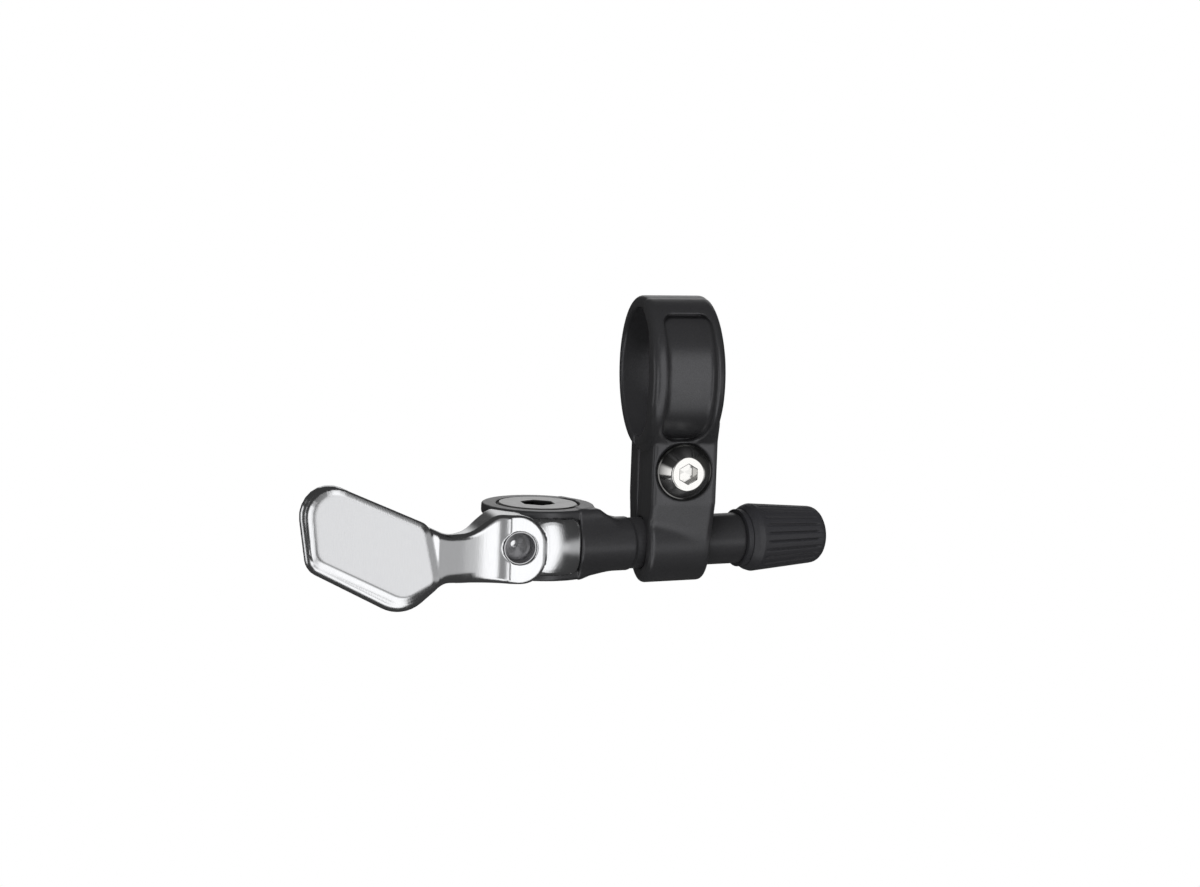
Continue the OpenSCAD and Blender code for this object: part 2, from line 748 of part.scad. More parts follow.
// The paddle's face, grown by the given margin
function face_outline(margin) =
    rounded([for (c = face_corners) [c[0] - margin * c[2], c[1] - margin * c[3], c[4] + margin]]);

// The flat face of the paddle on its bevel
module paddle_face() {
    face_back = paddle_reach - bevel_h;
    hull() {
        side_view(-face_back, -face_back + 0.4) polygon(face_outline(bevel_w));
        side_view(-paddle_reach, -paddle_reach + 0.02) polygon(face_outline(0));
    }
}

// Points of the scoop's floor, on an arc of radius r about its deepest place
function scoop_arc(r, from, to, steps) =
    [for (i = [0:steps]) let (a = from + (to - from) * i / steps)
        [scoop_at + r * sin(a), -front_reach + scoop_depth - r * (1 - cos(a))]];

// The arm seen from above: thin paddle, scoop in front and a swelling back into the hub
function arm_plan() =
    let (
        rise = paddle_reach - bevel_h - front_reach + scoop_depth,
        left = acos(1 - rise / scoop_r),
        scoop_start = scoop_at - scoop_r * sin(left),
        right = acos(1 - scoop_depth / scoop_end_r),
        paddle_back = -paddle_reach + paddle_t,
        arm_back = -front_reach + arm_depth
    )
    concat(
        [[-far, -paddle_reach + bevel_h]],
        scoop_arc(scoop_r, -left, 0, 10),
        scoop_arc(scoop_end_r, right / 4, right, 3),
        [[-hole_along, -front_reach], [-hole_along + 1, -pivot_r], [0, 0]],
        rounded_run([
            [0, 0, 0],
            [-boss_r * 0.5, boss_r * 0.86, 0],
            [scoop_at - arm_swell, arm_back, 4],
            [scoop_start + paddle_lap, paddle_back, 5],
            [-far, paddle_back, 0]
        ])
    );

// The flat pad round the cable hole: its front view and its plan
function pad_outline() = rounded([
    [-hole_along - 3, -lever_bottom, 0],
    [-pad_end, -lever_bottom, 4.2],
    [-pad_end, lever_top, 5],
    [-hole_along - 3, lever_top, 0]
], 8);

function pad_plan() = [
    [-hole_along - 3, -front_reach],
    [-pad_end, -front_reach],
    [-pad_end, -pivot_r],
    [-hole_along - 3, -pivot_r]
];

// The groove under the web that the return spring lies in
module spring_groove() {
    room = spring_wire / 2 + 0.3;
    translate([0, 0, web_bottom - over])
        ring(spring_r + room, spring_r - room, spring_h + over + 0.2);
    spring_leg_place(spring_end) cylinder(r = leg_hole_r, h = spring_h + leg_up);
}

// The cable's hole in the pad, and its way from there to the tube
module cable_ways() {
    translate([-hole_along, -front_reach - over, cable_hole_rise]) rotate([-90, 0, 0])
        cylinder(r = seat_r, h = cable_hole_depth + over);
    translate(-pivot_pos) along_tube(-pivot_along - hole_along) cylinder(r = liner_r, h = far);
}

// The steel cup in the cable hole that the cable's head bears on
module cable_seat() {
    depth = cable_hole_depth - seat_inset;
    cone_at = depth - seat_floor - seat_cone;
    color("#77777a")
    at_pivot()
    difference() {
        translate([-hole_along, -front_reach + seat_inset, cable_hole_rise]) rotate([-90, 0, 0])
        difference() {
            cylinder(r = seat_r, h = depth);
            translate([0, 0, -over]) cylinder(r = seat_r - seat_wall, h = cone_at + over);
            translate([0, 0, cone_at])
                cylinder(r1 = seat_r - seat_wall, r2 = seat_r - seat_wall - seat_cone, h = seat_cone);
        }
        translate(-pivot_pos) along_tube(-pivot_along - hole_along) cylinder(r = liner_r, h = far);
    }
}

// The two flanged bushes in the lever's hub
module bush() {
    difference() {
        union() {
            cylinder(r = bush_r, h = bush_len);
            cylinder(r = flange_r, h = bush_flange_t);
        }
        translate([0, 0, -over]) cylinder(r = bush_in_r, h = bush_len + 2 * over);
    }
}

module upper_bush() {
    color("#8a7a58")
    at_pivot() translate([0, 0, upper_in - shim_t]) rotate([180, 0, 0]) bush();
}

module lower_bush() {
    color("#8a7a58")
    at_pivot() translate([0, 0, lower_in + shim_t]) bush();
}

// Moves children to one end of the return spring, at the height where its coils start
module spring_leg_place(angle) {
    translate([0, 0, lower_in + spring_lift]) rotate([0, 0, angle]) translate([spring_r, 0, 0]) children();
}

// The torsion spring round the hub, with one leg in the lower plate and one in the lever
module return_spring() {
    color("#a9a9ad")
    at_pivot() translate([0, 0, lower_in + spring_lift]) rotate([0, 0, spring_start])
        coil(spring_r, spring_wire, spring_pitch, spring_turns, legs = [leg_down, leg_up]);
}

// The detent ring between tube and knob, kept from turning by two keys in the tube
module detent_ring() {
    color("#26262a")
    on_tube() {
        translate([detent_at, 0, 0]) rotate([0, 90, 0]) ring(detent_d / 2, screw_r + screw_gap, detent_t);
        for (side = [0, 180])
            rotate([side, 0, 0]) translate([key_at, -key_w / 2, well_r + thread_gap])
                cube([detent_at + detent_t / 2 - key_at, key_w, key_r - well_r - thread_gap]);
    }
}

// The spring that holds the detent ring against the knob
module detent_spring() {
    free = detent_at - well_floor - detent_wire;
    turns = 6;
    color("#b5b5b8")
    along_tube(well_floor) coil(detent_coil_r, detent_wire, free / turns, turns, 14);
}

// The hollow screw: threaded shank in the tube, and a head with the housing's socket
module adjuster_screw() {
    color("#3a3a3e")
    along_tube(0)
    difference() {
        union() {
            translate([0, 0, screw_tip]) cylinder(r = screw_r, h = knob_at - screw_tip + 0.1);
            translate([0, 0, knob_at]) cylinder(r = screw_head_r, h = knob_len - 0.6);
        }
        cylinder(r = liner_r, h = far);
        translate([0, 0, knob_end - 0.6 - ferrule_depth]) cylinder(r = ferrule_r, h = ferrule_depth + over);
        translate([0, 0, seal_at]) rotate_extrude() translate([ferrule_r - over, -seal_r])
            square([over + 2 * seal_r, 2 * seal_r]);
    }
}

// The knob on the screw's head: chamfered, tapered, ribbed and round at its end
module adjuster_knob() {
    wide_r = knob_d / 2;
    narrow_r = knob_end_d / 2;
    crown = 1.2;
    outline = concat(
        [for (c = knob_collar) [wide_r - c[0], c[1]]],
        [
            for (i = [0:5])
                let (a = 90 * i / 5)
                [narrow_r - crown + crown * cos(a), knob_len - crown + crown * sin(a)]
        ],
        [[screw_head_r, knob_len], [screw_head_r, 0]]
    );
    color("#2b2b30")
    along_tube(knob_at)
    difference() {
        rotate_extrude() polygon(outline);
        for (i = [0:knob_grooves - 1])
            rotate([0, 0, 360 * i / knob_grooves]) knob_groove(wide_r, narrow_r);
    }
}

// One groove along the knob's taper, with its floor parallel to the taper
module knob_groove(wide_r, narrow_r) {
    start = 2.6; // the plain collar before the grooves
    end_plain = 2;
    groove_w = 0.6;
    length = knob_len - start - end_plain;
    lean = atan((wide_r - narrow_r) / knob_len);
    translate([wide_r - groove_depth - start * tan(lean), 0, start]) rotate([0, -lean, 0])
        translate([0, -groove_w / 2, 0]) cube([over, groove_w, length]);
}

// The soft ring that holds the housing's ferrule
module seal_ring() {
    color("#1a1a1a")
    along_tube(seal_at) rotate_extrude()
        translate([ferrule_r + seal_r + seal_gap, 0]) circle(r = seal_r - seal_gap, $fn = 16);
}

clamp_band();
clamp_bolt();
clamp_nut();
perch_body();
pivot_bolt();
pivot_sleeve();
upper_shim();
lower_shim();
rest_stop();
cable_liner();
lever();
upper_bush();
lower_bush();
cable_seat();
return_spring();
detent_ring();
detent_spring();
adjuster_screw();
adjuster_knob();
seal_ring();
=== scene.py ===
"""The looks of a dropper post remote lever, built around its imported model.

The forged and machined forms are distance fields on a grid, so that their edges and joints
are softly rounded as on the real piece. Turned forms are profiles carried round an axis.
All sizes are in millimetres, in the frame's own axes, and become metres in the meshes.
"""

import json
import logging
import math
from collections.abc import Sequence
from dataclasses import dataclass
from enum import Enum

import bpy
import numpy as np
from mathutils import Matrix, Vector

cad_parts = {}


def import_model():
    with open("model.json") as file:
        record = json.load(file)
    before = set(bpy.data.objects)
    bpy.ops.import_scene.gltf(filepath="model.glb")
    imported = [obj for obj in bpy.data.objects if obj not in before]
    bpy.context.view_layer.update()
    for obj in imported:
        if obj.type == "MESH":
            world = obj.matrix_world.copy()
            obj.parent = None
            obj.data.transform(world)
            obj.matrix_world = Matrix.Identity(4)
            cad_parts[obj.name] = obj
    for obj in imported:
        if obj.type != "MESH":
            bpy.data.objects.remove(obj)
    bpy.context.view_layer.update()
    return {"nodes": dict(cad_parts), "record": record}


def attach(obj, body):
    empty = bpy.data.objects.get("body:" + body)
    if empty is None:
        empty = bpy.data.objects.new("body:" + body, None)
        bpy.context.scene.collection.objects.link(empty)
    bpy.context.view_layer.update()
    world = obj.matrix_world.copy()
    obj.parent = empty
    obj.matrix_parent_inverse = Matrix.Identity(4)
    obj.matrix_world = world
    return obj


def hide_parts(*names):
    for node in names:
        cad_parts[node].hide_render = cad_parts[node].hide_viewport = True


LOG = logging.getLogger("remote_lever")
MM = 0.001
NO_LENGTH = 1e-12
NEAR_AXIS = 0.01

Array = np.ndarray
Piece = bpy.types.Object
Tree = bpy.types.NodeTree
Socket = bpy.types.NodeSocket
Pair = tuple[float, float]
Point = tuple[float, float, float]
# The corner of an outline: its two coordinates and its rounding
Corner = tuple[float, float, float]


class Body(Enum):
    """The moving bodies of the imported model."""

    CLAMP = "clamp"
    PERCH = "perch"
    LEVER = "lever"
    DETENT = "detent"
    KNOB = "knob"


# Outlines

def rounded(corners: Sequence[Corner], steps: int = 8, closed: bool = True) -> Array:
    """Rounds the corners of an outline.

    Args:
        corners: x, y and radius of each corner.
        steps: pieces in each arc.
        closed: whether the last corner joins the first.

    Returns:
        The outline's points, one row each.
    """
    points: list[Array] = []
    count = len(corners)
    for index, (x, y, radius) in enumerate(corners):
        here = np.array((x, y))
        if radius <= 0 or (not closed and index in (0, count - 1)):
            points.append(here)
            continue
        before = np.array(corners[index - 1][:2]) - here
        after = np.array(corners[(index + 1) % count][:2]) - here
        before /= np.linalg.norm(before)
        after /= np.linalg.norm(after)
        half = math.acos(float(np.clip(before @ after, -1, 1))) / 2
        middle = before + after
        centre = here + middle / np.linalg.norm(middle) * radius / math.sin(half)
        start = here + before * radius / math.tan(half) - centre
        end = here + after * radius / math.tan(half) - centre
        first = math.atan2(start[1], start[0])
        turn = (math.atan2(end[1], end[0]) - first + 3 * math.pi) % (2 * math.pi) - math.pi
        for step in range(steps + 1):
            angle = first + turn * step / steps
            points.append(centre + radius * np.array((math.cos(angle), math.sin(angle))))
    return np.array(points)


def outline_distance(px: Array, py: Array, outline: Array) -> Array:
    """Signed distance from points to a closed outline, negative inside.

    Args:
        px: first coordinate of each point.
        py: second coordinate of each point.
        outline: the outline's points, one row each.

    Returns:
        The distance to the nearest side, in an array of the points' shape.
    """
    nearest = np.full(np.broadcast(px, py).shape, np.inf)
    inside = np.zeros(nearest.shape, bool)
    for (ax, ay), (bx, by) in zip(outline, np.roll(outline, -1, axis=0)):
        ex, ey = bx - ax, by - ay
        length2 = ex * ex + ey * ey
        if length2 < NO_LENGTH:
            continue
        along = np.clip(((px - ax) * ex + (py - ay) * ey) / length2, 0, 1)
        nearest = np.minimum(nearest, (px - ax - ex * along) ** 2 + (py - ay - ey * along) ** 2)
        if ay != by:
            inside ^= ((ay > py) != (by > py)) & (px < ex * (py - ay) / (by - ay) + ax)
    return np.where(inside, -1.0, 1.0) * np.sqrt(nearest)


# Distance fields

def both(a: Array, b: Array, radius: float | Array = 0.0) -> Array:
    """What lies in both forms, its outer edge rounded to the radius.

    Where either distance is more than a radius inside, the larger of the two counts. Nearer
    the edge it is the length of both overshoots together, less the radius.

    Args:
        a: one form's distance field.
        b: the other's.
        radius: the edge's rounding, the same everywhere or one for each grid point.

    Returns:
        The common form's distance field.
    """
    if np.ndim(radius) == 0 and radius <= 0:
        return np.maximum(a, b)
    over = np.hypot(np.maximum(a + radius, 0), np.maximum(b + radius, 0))
    return np.minimum(np.maximum(a, b), -radius) + over


def joined(a: Array, b: Array, radius: float = 0.0) -> Array:
    """What lies in either form, with a fillet of the radius between them."""
    return -both(-a, -b, radius)


def without(a: Array, b: Array, radius: float = 0.0) -> Array:
    """The first form with the second cut away, the cut's edge rounded to the radius."""
    return both(a, -b, radius)


def slab(values: Array, low: float, high: float) -> Array:
    """Distance to a slab between two planes across the given coordinate."""
    return np.abs(values - (low + high) / 2) - (high - low) / 2


def ramp(values: Array, start: float | Array, end: float | Array) -> Array:
    """Goes evenly from none at the start to one at the end, and stays there."""
    return np.clip((values - start) / (end - start), 0, 1)


@dataclass
class Lattice:
    """A box of grid points in millimetres, on which a form's distance field is worked out."""

    low: Point
    high: Point
    step: float
    draws: int = 3
    least_slope: float = 0.05

    def axes(self) -> tuple[Array, Array, Array]:
        """The x, y and z of the grid's points, shaped so that they combine into the box."""
        lines = [np.arange(a, b + self.step, self.step) for a, b in zip(self.low, self.high)]
        return lines[0][:, None, None], lines[1][None, :, None], lines[2][None, None, :]

    def sample(self, values: Array, points: Array) -> Array:
        """Reads a field between its grid points, weighting the eight nearest by closeness.

        Args:
            values: the field on the grid.
            points: where to read it, one row each.

        Returns:
            The field's value at each point.
        """
        place = (points - np.array(self.low)) / self.step
        cell = np.clip(np.floor(place).astype(int), 0, np.array(values.shape) - 2)
        part = place - cell
        total = np.zeros(len(points))
        for corner in np.ndindex(2, 2, 2):
            weight = np.prod([part[:, k] if corner[k] else 1 - part[:, k] for k in range(3)], axis=0)
            i, j, k = (cell + corner).T
            total += weight * values[i, j, k]
        return total

    def surface(self, values: Array) -> tuple[Array, Array, Array]:
        """Meshes the surface where the field is zero.

        Each grid cell that the surface passes through gets one point, the mean of the places
        where it crosses the cell's edges. Each crossed edge gets one four-sided face between
        the four cells around it. The points are then drawn onto the surface along the field's
        slope, which also gives the normals.

        Args:
            values: the field on the grid.

        Returns:
            Points, faces and normals.
        """
        inside = values < 0
        cells = tuple(n - 1 for n in values.shape)
        total = np.zeros((3, *cells), np.float32)
        count = np.zeros(cells, np.int8)
        corners = np.indices(cells, dtype=np.float32)
        crossed = []
        for axis in range(3):
            low = [slice(None)] * 3
            high = [slice(None)] * 3
            low[axis], high[axis] = slice(None, -1), slice(1, None)
            first, second = values[tuple(low)], values[tuple(high)]
            change = inside[tuple(low)] != inside[tuple(high)]
            crossed.append((change, inside[tuple(low)]))
            part = np.where(change, first / np.where(change, first - second, 1), 0).astype(np.float32)
            others = [k for k in range(3) if k != axis]
            for shift in np.ndindex(2, 2):
                window = [slice(None)] * 3
                for other, by in zip(others, shift):
                    window[other] = slice(by, by + cells[other])
                hit = change[tuple(window)]
                count += hit
                total[axis] += np.where(hit, corners[axis] + part[tuple(window)], 0)
                for other, by in zip(others, shift):
                    total[other] += np.where(hit, corners[other] + by, 0)
        used = count > 0
        number = np.full(cells, -1)
        number[used] = np.arange(int(used.sum()))
        points = (total[:, used] / count[used]).T.astype(float) * self.step + np.array(self.low)
        faces = []
        for axis, (change, starts_inside) in enumerate(crossed):
            second, third = (axis + 1) % 3, (axis + 2) % 3
            place = np.argwhere(change)
            keep = (place[:, second] > 0) & (place[:, third] > 0)
            keep &= (place[:, second] < cells[second]) & (place[:, third] < cells[third])
            place = place[keep]
            ring = []
            for back2, back3 in ((1, 1), (0, 1), (0, 0), (1, 0)):
                cell = place.copy()
                cell[:, second] -= back2
                cell[:, third] -= back3
                ring.append(number[tuple(cell.T)])
            quads = np.stack(ring, axis=1)
            outward = starts_inside[tuple(place.T)]
            quads[~outward] = quads[~outward][:, ::-1]
            faces.append(quads)
        slopes = np.gradient(values, self.step)
        for _ in range(self.draws):
            slope = np.stack([self.sample(part, points) for part in slopes], axis=1)
            steep = np.maximum((slope ** 2).sum(axis=1), self.least_slope)
            move = -slope * (self.sample(values, points) / steep)[:, None]
            points += np.clip(move, -self.step / 2, self.step / 2)
        slope = np.stack([self.sample(part, points) for part in slopes], axis=1)
        normals = slope / np.maximum(np.linalg.norm(slope, axis=1, keepdims=True), NO_LENGTH)
        return points, np.concatenate(faces), normals


# Meshes

def add_mesh(name: str, points: Array, faces: Array, normals: Array | None = None,
             sharp_angle: float | None = None) -> Piece:
    """Makes an object from points in millimetres.

    Args:
        name: the piece's name.
        points: one row for each point.
        faces: point numbers of each face.
        normals: one normal for each point, or none to let faces decide.
        sharp_angle: edges sharper than this, in degrees, stay crisp.

    Returns:
        The new object, at the origin.
    """
    mesh = bpy.data.meshes.new(name)
    mesh.from_pydata((points * MM).tolist(), [], faces.tolist())
    mesh.polygons.foreach_set("use_smooth", np.ones(len(mesh.polygons), bool))
    if sharp_angle is not None:
        mesh.set_sharp_from_angle(angle=math.radians(sharp_angle))
    if normals is not None:
        mesh.normals_split_custom_set_from_vertices(normals.tolist())
    mesh.update()
    piece = bpy.data.objects.new(name, mesh)
    bpy.context.scene.collection.objects.link(piece)
    return piece


def vertex_places(piece: Piece) -> Array:
    """Reads where a piece's points are.

    Args:
        piece: the piece.

    Returns:
        The places in millimetres, one row each.
    """
    flat = np.empty(len(piece.data.vertices) * 3, np.float32)
    piece.data.vertices.foreach_get("co", flat)
    return flat.reshape(-1, 3).astype(float) / MM


def paint(piece: Piece, name: str, values: Array) -> None:
    """Keeps a value between none and one with each point of a piece, for its material."""
    mask = piece.data.attributes.new(name, "FLOAT", "POINT")
    mask.data.foreach_set("value", np.clip(values, 0, 1).astype(np.float32))


@dataclass
class Axis:
    """A straight axis in the frame, with two directions across it."""

    start: Point
    along: Point
    across: Point

    def place(self, distance: Array, right: Array, up: Array) -> Array:
        """Points at the given distances along the axis and across it.

        Args:
            distance: how far along the axis.
            right: how far in the axis's own cross direction.
            up: how far square to both.

        Returns:
            The points, with x, y and z in the last dimension.
        """
        axis, side = np.array(self.along), np.array(self.across)
        third = np.cross(axis, side)
        return (np.array(self.start) + distance[..., None] * axis + right[..., None] * side
                + up[..., None] * third)


def turned(name: str, axis: Axis, radius: Array, distance: Array, sharp_angle: float = 32) -> Piece:
    """Makes a turned piece from a grid of radii.

    A point lies at its distance along the axis, and off it by its radius times the cosine
    and the sine of its column's angle.

    Args:
        name: the piece's name.
        axis: the axis that it turns round.
        radius: radius for each profile point (rows) and each direction (columns).
        distance: distance along the axis for each profile point and direction.
        sharp_angle: edges sharper than this, in degrees, stay crisp.

    Returns:
        The closed piece: the profile's last point joins its first.
    """
    rows, columns = radius.shape
    angle = np.linspace(0, 2 * math.pi, columns, endpoint=False)[None, :]
    points = axis.place(distance, radius * np.cos(angle), radius * np.sin(angle)).reshape(-1, 3)
    row, column = np.mgrid[:rows, :columns]
    below, beside = (row + 1) % rows * columns, (column + 1) % columns
    row = row * columns
    ring = (row + beside, below + beside, below + column, row + column)
    faces = np.stack(ring, axis=-1).reshape(-1, 4)
    return add_mesh(name, points, faces, sharp_angle=sharp_angle)


def profile_grid(profile: Array, columns: int) -> tuple[Array, Array]:
    """Spreads a profile of distance and radius over equal directions.

    Args:
        profile: distance along the axis and radius of each profile point.
        columns: number of directions.

    Returns:
        The grids of radius and of distance.
    """
    ones = np.ones((1, columns))
    return profile[:, 1:2] * ones, profile[:, 0:1] * ones


def finer(profile: Array, step: float) -> Array:
    """Splits a profile's long sides, so that no piece is much longer than the step.

    Args:
        profile: distance along the axis and radius of each profile point.
        step: the wanted length along the axis.

    Returns:
        The profile with equal pieces in each side.
    """
    start, side = profile[:-1], np.diff(profile, axis=0)
    pieces = np.maximum(1, (np.abs(side[:, 0]) / step).astype(int))
    share = np.concatenate([np.arange(1, count + 1) / count for count in pieces])
    split = np.repeat(start, pieces, axis=0) + np.repeat(side, pieces, axis=0) * share[:, None]
    return np.vstack((profile[:1], split))


@dataclass(frozen=True)
class HexSocket:
    """A hexagon socket: width across flats, chamfer at its mouth, and its floor along the axis."""

    across_flats: float
    chamfer_w: float
    chamfer_h: float
    floor: float
    cone: float
    mouth: float = 0.66

    def radius(self, columns: int) -> Array:
        """Radius of the hexagon in each of the equal directions."""
        angle = np.degrees(np.linspace(0, 2 * math.pi, columns, endpoint=False))
        return self.across_flats / 2 / np.cos(np.radians((angle + 30) % 60 - 30))


def socket_bolt(name: str, axis: Axis, corners: list[Corner], socket: HexSocket, columns: int
                ) -> tuple[Piece, Array, Array]:
    """Makes a turned bolt whose head has a hexagon socket.

    The profile follows the bolt's outside up to the top of the head, turns in to the socket's
    mouth, goes down the flats and ends in a shallow cone.

    Args:
        name: the piece's name.
        axis: the bolt's axis, towards its head.
        corners: distance, radius and rounding of each outside corner, from the shank's end.
        socket: the socket in the head.
        columns: number of directions.

    Returns:
        The bolt, and its points' grids of radius and of distance.
    """
    top = corners[-1][0]
    outer = rounded([*corners, (top, socket.across_flats * socket.mouth, 0)], closed=False)
    radius, distance = profile_grid(outer, columns)
    flats = socket.radius(columns)
    inner_radius = np.stack([flats + socket.chamfer_w, flats, flats, np.full(columns, NEAR_AXIS)])
    levels = np.array((top, top - socket.chamfer_h, socket.floor, socket.floor - socket.cone))
    radius = np.vstack((radius, inner_radius))
    distance = np.vstack((distance, levels[:, None] * np.ones((1, columns))))
    return turned(name, axis, radius, distance), radius, distance


# The part's layout

@dataclass(frozen=True)
class Layout:
    """The driving places that the sub-assemblies share."""

    skew: float = 13.0
    drop: float = 29.4
    pivot_along: float = 22.0
    pivot_offset: float = 6.5
    tube_reach: float = 13.5

    def tube_direction(self) -> Point:
        """Direction of the remote's tube, towards the knob."""
        turn = math.radians(self.skew)
        return math.cos(turn), math.sin(turn), 0.0

    def tube_side(self) -> Point:
        """Horizontal direction across the tube, away from the rider."""
        turn = math.radians(self.skew)
        return -math.sin(turn), math.cos(turn), 0.0

    def on_tube(self, along: float, across: float = 0.0) -> Array:
        """A place at the tube's height, given along the tube and across it."""
        return (np.array(self.tube_direction()) * along + np.array(self.tube_side()) * across
                + np.array((0.0, 0.0, -self.drop)))

    def tube_axis(self, at: float) -> Axis:
        """The tube's axis, starting at a distance from the clamp's middle."""
        return Axis(tuple(self.on_tube(at)), self.tube_direction(), self.tube_side())

    def pivot(self) -> Array:
        """The pivot, at the height of the tube's axis."""
        return self.on_tube(-self.pivot_along, self.pivot_offset)


LAYOUT = Layout()


def dress_field(name: str, lattice: Lattice, values: Array, origin: Array, turn: float = 0.0) -> Piece:
    """Makes a piece from a distance field.

    Args:
        name: the piece's name.
        lattice: the grid, in the piece's own axes.
        values: the field on the grid.
        origin: where the grid's own origin lies in the frame.
        turn: angle of the grid about the vertical, in degrees.

    Returns:
        The new piece.
    """
    points, faces, normals = lattice.surface(values)
    angle = math.radians(turn)
    cosine, sine = math.cos(angle), math.sin(angle)
    spin = np.array(((cosine, -sine, 0), (sine, cosine, 0), (0, 0, 1)))
    LOG.info("%s: %d faces from a field of %d points", name, len(faces), values.size)
    return add_mesh(name, points @ spin.T + origin, faces, normals @ spin.T)


# Material nodes

class Mix(Enum):
    """What a mix node mixes: its data type, the place of its first input and of its output."""

    NUMBER = ("FLOAT", 2, 0)
    COLOR = ("RGBA", 6, 2)


def plug(tree: Tree, socket: Socket, value: object) -> None:
    """Links an input to a node's output, or sets it to a plain value.

    Args:
        tree: the node tree.
        socket: the input.
        value: another node's output, a number or a colour.
    """
    if isinstance(value, Socket):
        tree.links.new(value, socket)
    else:
        socket.default_value = value


def arithmetic(tree: Tree, operation: str, first: object, second: object = 0.0) -> Socket:
    """Adds one step of arithmetic.

    Args:
        tree: the node tree.
        operation: Blender's name of the step.
        first: the first output or number.
        second: the second one, where the step takes two.

    Returns:
        The result's output.
    """
    node = tree.nodes.new("ShaderNodeMath")
    node.operation = operation
    plug(tree, node.inputs[0], first)
    plug(tree, node.inputs[1], second)
    return node.outputs["Value"]


def mixed(tree: Tree, kind: Mix, factor: Socket, first: object, second: object) -> Socket:
    """Goes from a first value to a second as the factor rises from none to one.

    Args:
        tree: the node tree.
        kind: whether numbers or colours are mixed.
        factor: the factor's output.
        first: an output or a plain value.
        second: the same.

    Returns:
        The mixture's output.
    """
    data_type, start, result = kind.value
    node = tree.nodes.new("ShaderNodeMix")
    node.data_type = data_type
    for index, value in ((0, factor), (start, first), (start + 1, second)):
        plug(tree, node.inputs[index], value)
    return node.outputs[result]


def ranged(tree: Tree, value: Socket, source: Pair, target: Pair, curve: str = "LINEAR") -> Socket:
    """Carries a value from one range over to another.

    Args:
        tree: the node tree.
        value: the value's output.
        source: the range that it comes from.
        target: the range that it goes to.
        curve: Blender's name of the way between the ends.

    Returns:
        The new value's output.
    """
    node = tree.nodes.new("ShaderNodeMapRange")
    node.interpolation_type = curve
    tree.links.new(value, node.inputs["Value"])
    for key, end in zip(("From Min", "From Max", "To Min", "To Max"), (*source, *target)):
        node.inputs[key].default_value = end
    return node.outputs["Result"]


def painted(tree: Tree, name: str) -> Socket:
    """The value that a piece's points are painted with.

    Args:
        tree: the node tree.
        name: the attribute's name.

    Returns:
        The value's output, none where the piece isn't painted.
    """
    mask = tree.nodes.new("ShaderNodeAttribute")
    mask.attribute_name = name
    return mask.outputs["Fac"]


# Finishes

@dataclass(frozen=True)
class Finish:
    """A surface finish that becomes one procedural material and names its slot of the record.

    Noise over the object varies the roughness a little. Finer noise varies the colour and
    lifts the surface. Both are drawn out upwards on brushed metal. Where a piece is painted
    with shade, the colour goes down; where it is painted with satin, the roughness goes up.
    """

    slot: str
    color: tuple[float, float, float]
    metallic: float
    roughness: float
    spread: float = 0.04
    tint: float = 0.06
    grain: float = 900.0
    finer: float = 6.0
    layers: Pair = (4.0, 2.0)
    bump: float = 0.04
    bump_height: float = 0.0001
    streak: float = 1.0
    satin: float | None = None
    shade_level: float = 0.01
    smoothest: float = 0.02

    def noise(self, tree: Tree, place: Socket, scale: float, detail: float) -> Socket:
        """Adds noise over the object, drawn out along the vertical by the finish's streak.

        Args:
            tree: the node tree.
            place: the coordinates' output.
            scale: how many lumps fill a metre.
            detail: how many finer layers the noise has.

        Returns:
            The noise's output.
        """
        mapping = tree.nodes.new("ShaderNodeMapping")
        mapping.inputs["Scale"].default_value = (1, 1, 1 / self.streak)
        tree.links.new(place, mapping.inputs["Vector"])
        noise = tree.nodes.new("ShaderNodeTexNoise")
        noise.inputs["Scale"].default_value = scale
        noise.inputs["Detail"].default_value = detail
        tree.links.new(mapping.outputs["Vector"], noise.inputs["Vector"])
        return noise.outputs["Fac"]

    def material(self) -> bpy.types.Material:
        """Makes the material, or finds it if it is there already.

        Returns:
            The material, named after the slot.
        """
        name = f"{self.slot}_finish"
        known = bpy.data.materials.get(name)
        if known is not None:
            return known
        made = bpy.data.materials.new(name)
        made.use_nodes = True
        tree = made.node_tree
        shader = tree.nodes["Principled BSDF"]
        place = tree.nodes.new("ShaderNodeTexCoord").outputs["Object"]
        coarse = self.noise(tree, place, self.grain, self.layers[0])
        fine = self.noise(tree, place, self.grain * self.finer, self.layers[1])
        dark, light = ((*(v * (1 + by) for v in self.color), 1) for by in (-self.tint, self.tint))
        color = mixed(tree, Mix.COLOR, fine, dark, light)
        color = mixed(tree, Mix.COLOR, painted(tree, "shade"), color, (*(self.shade_level,) * 3, 1))
        ends = (max(self.roughness - self.spread, self.smoothest), self.roughness + self.spread)
        rough = ranged(tree, coarse, (0, 1), ends)
        if self.satin is not None:
            rough = mixed(tree, Mix.NUMBER, painted(tree, "satin"), rough, self.satin)
        bump = tree.nodes.new("ShaderNodeBump")
        bump.inputs["Distance"].default_value = self.bump_height
        bump.inputs["Strength"].default_value = self.bump
        tree.links.new(fine, bump.inputs["Height"])
        for key, value in (("Metallic", self.metallic), ("Base Color", color), ("Roughness", rough),
                           ("Normal", bump.outputs["Normal"])):
            plug(tree, shader.inputs[key], value)
        return made

    def dress(self, piece: Piece) -> None:
        """Makes this the only finish of a piece."""
        piece.data.materials.clear()
        piece.data.materials.append(self.material())


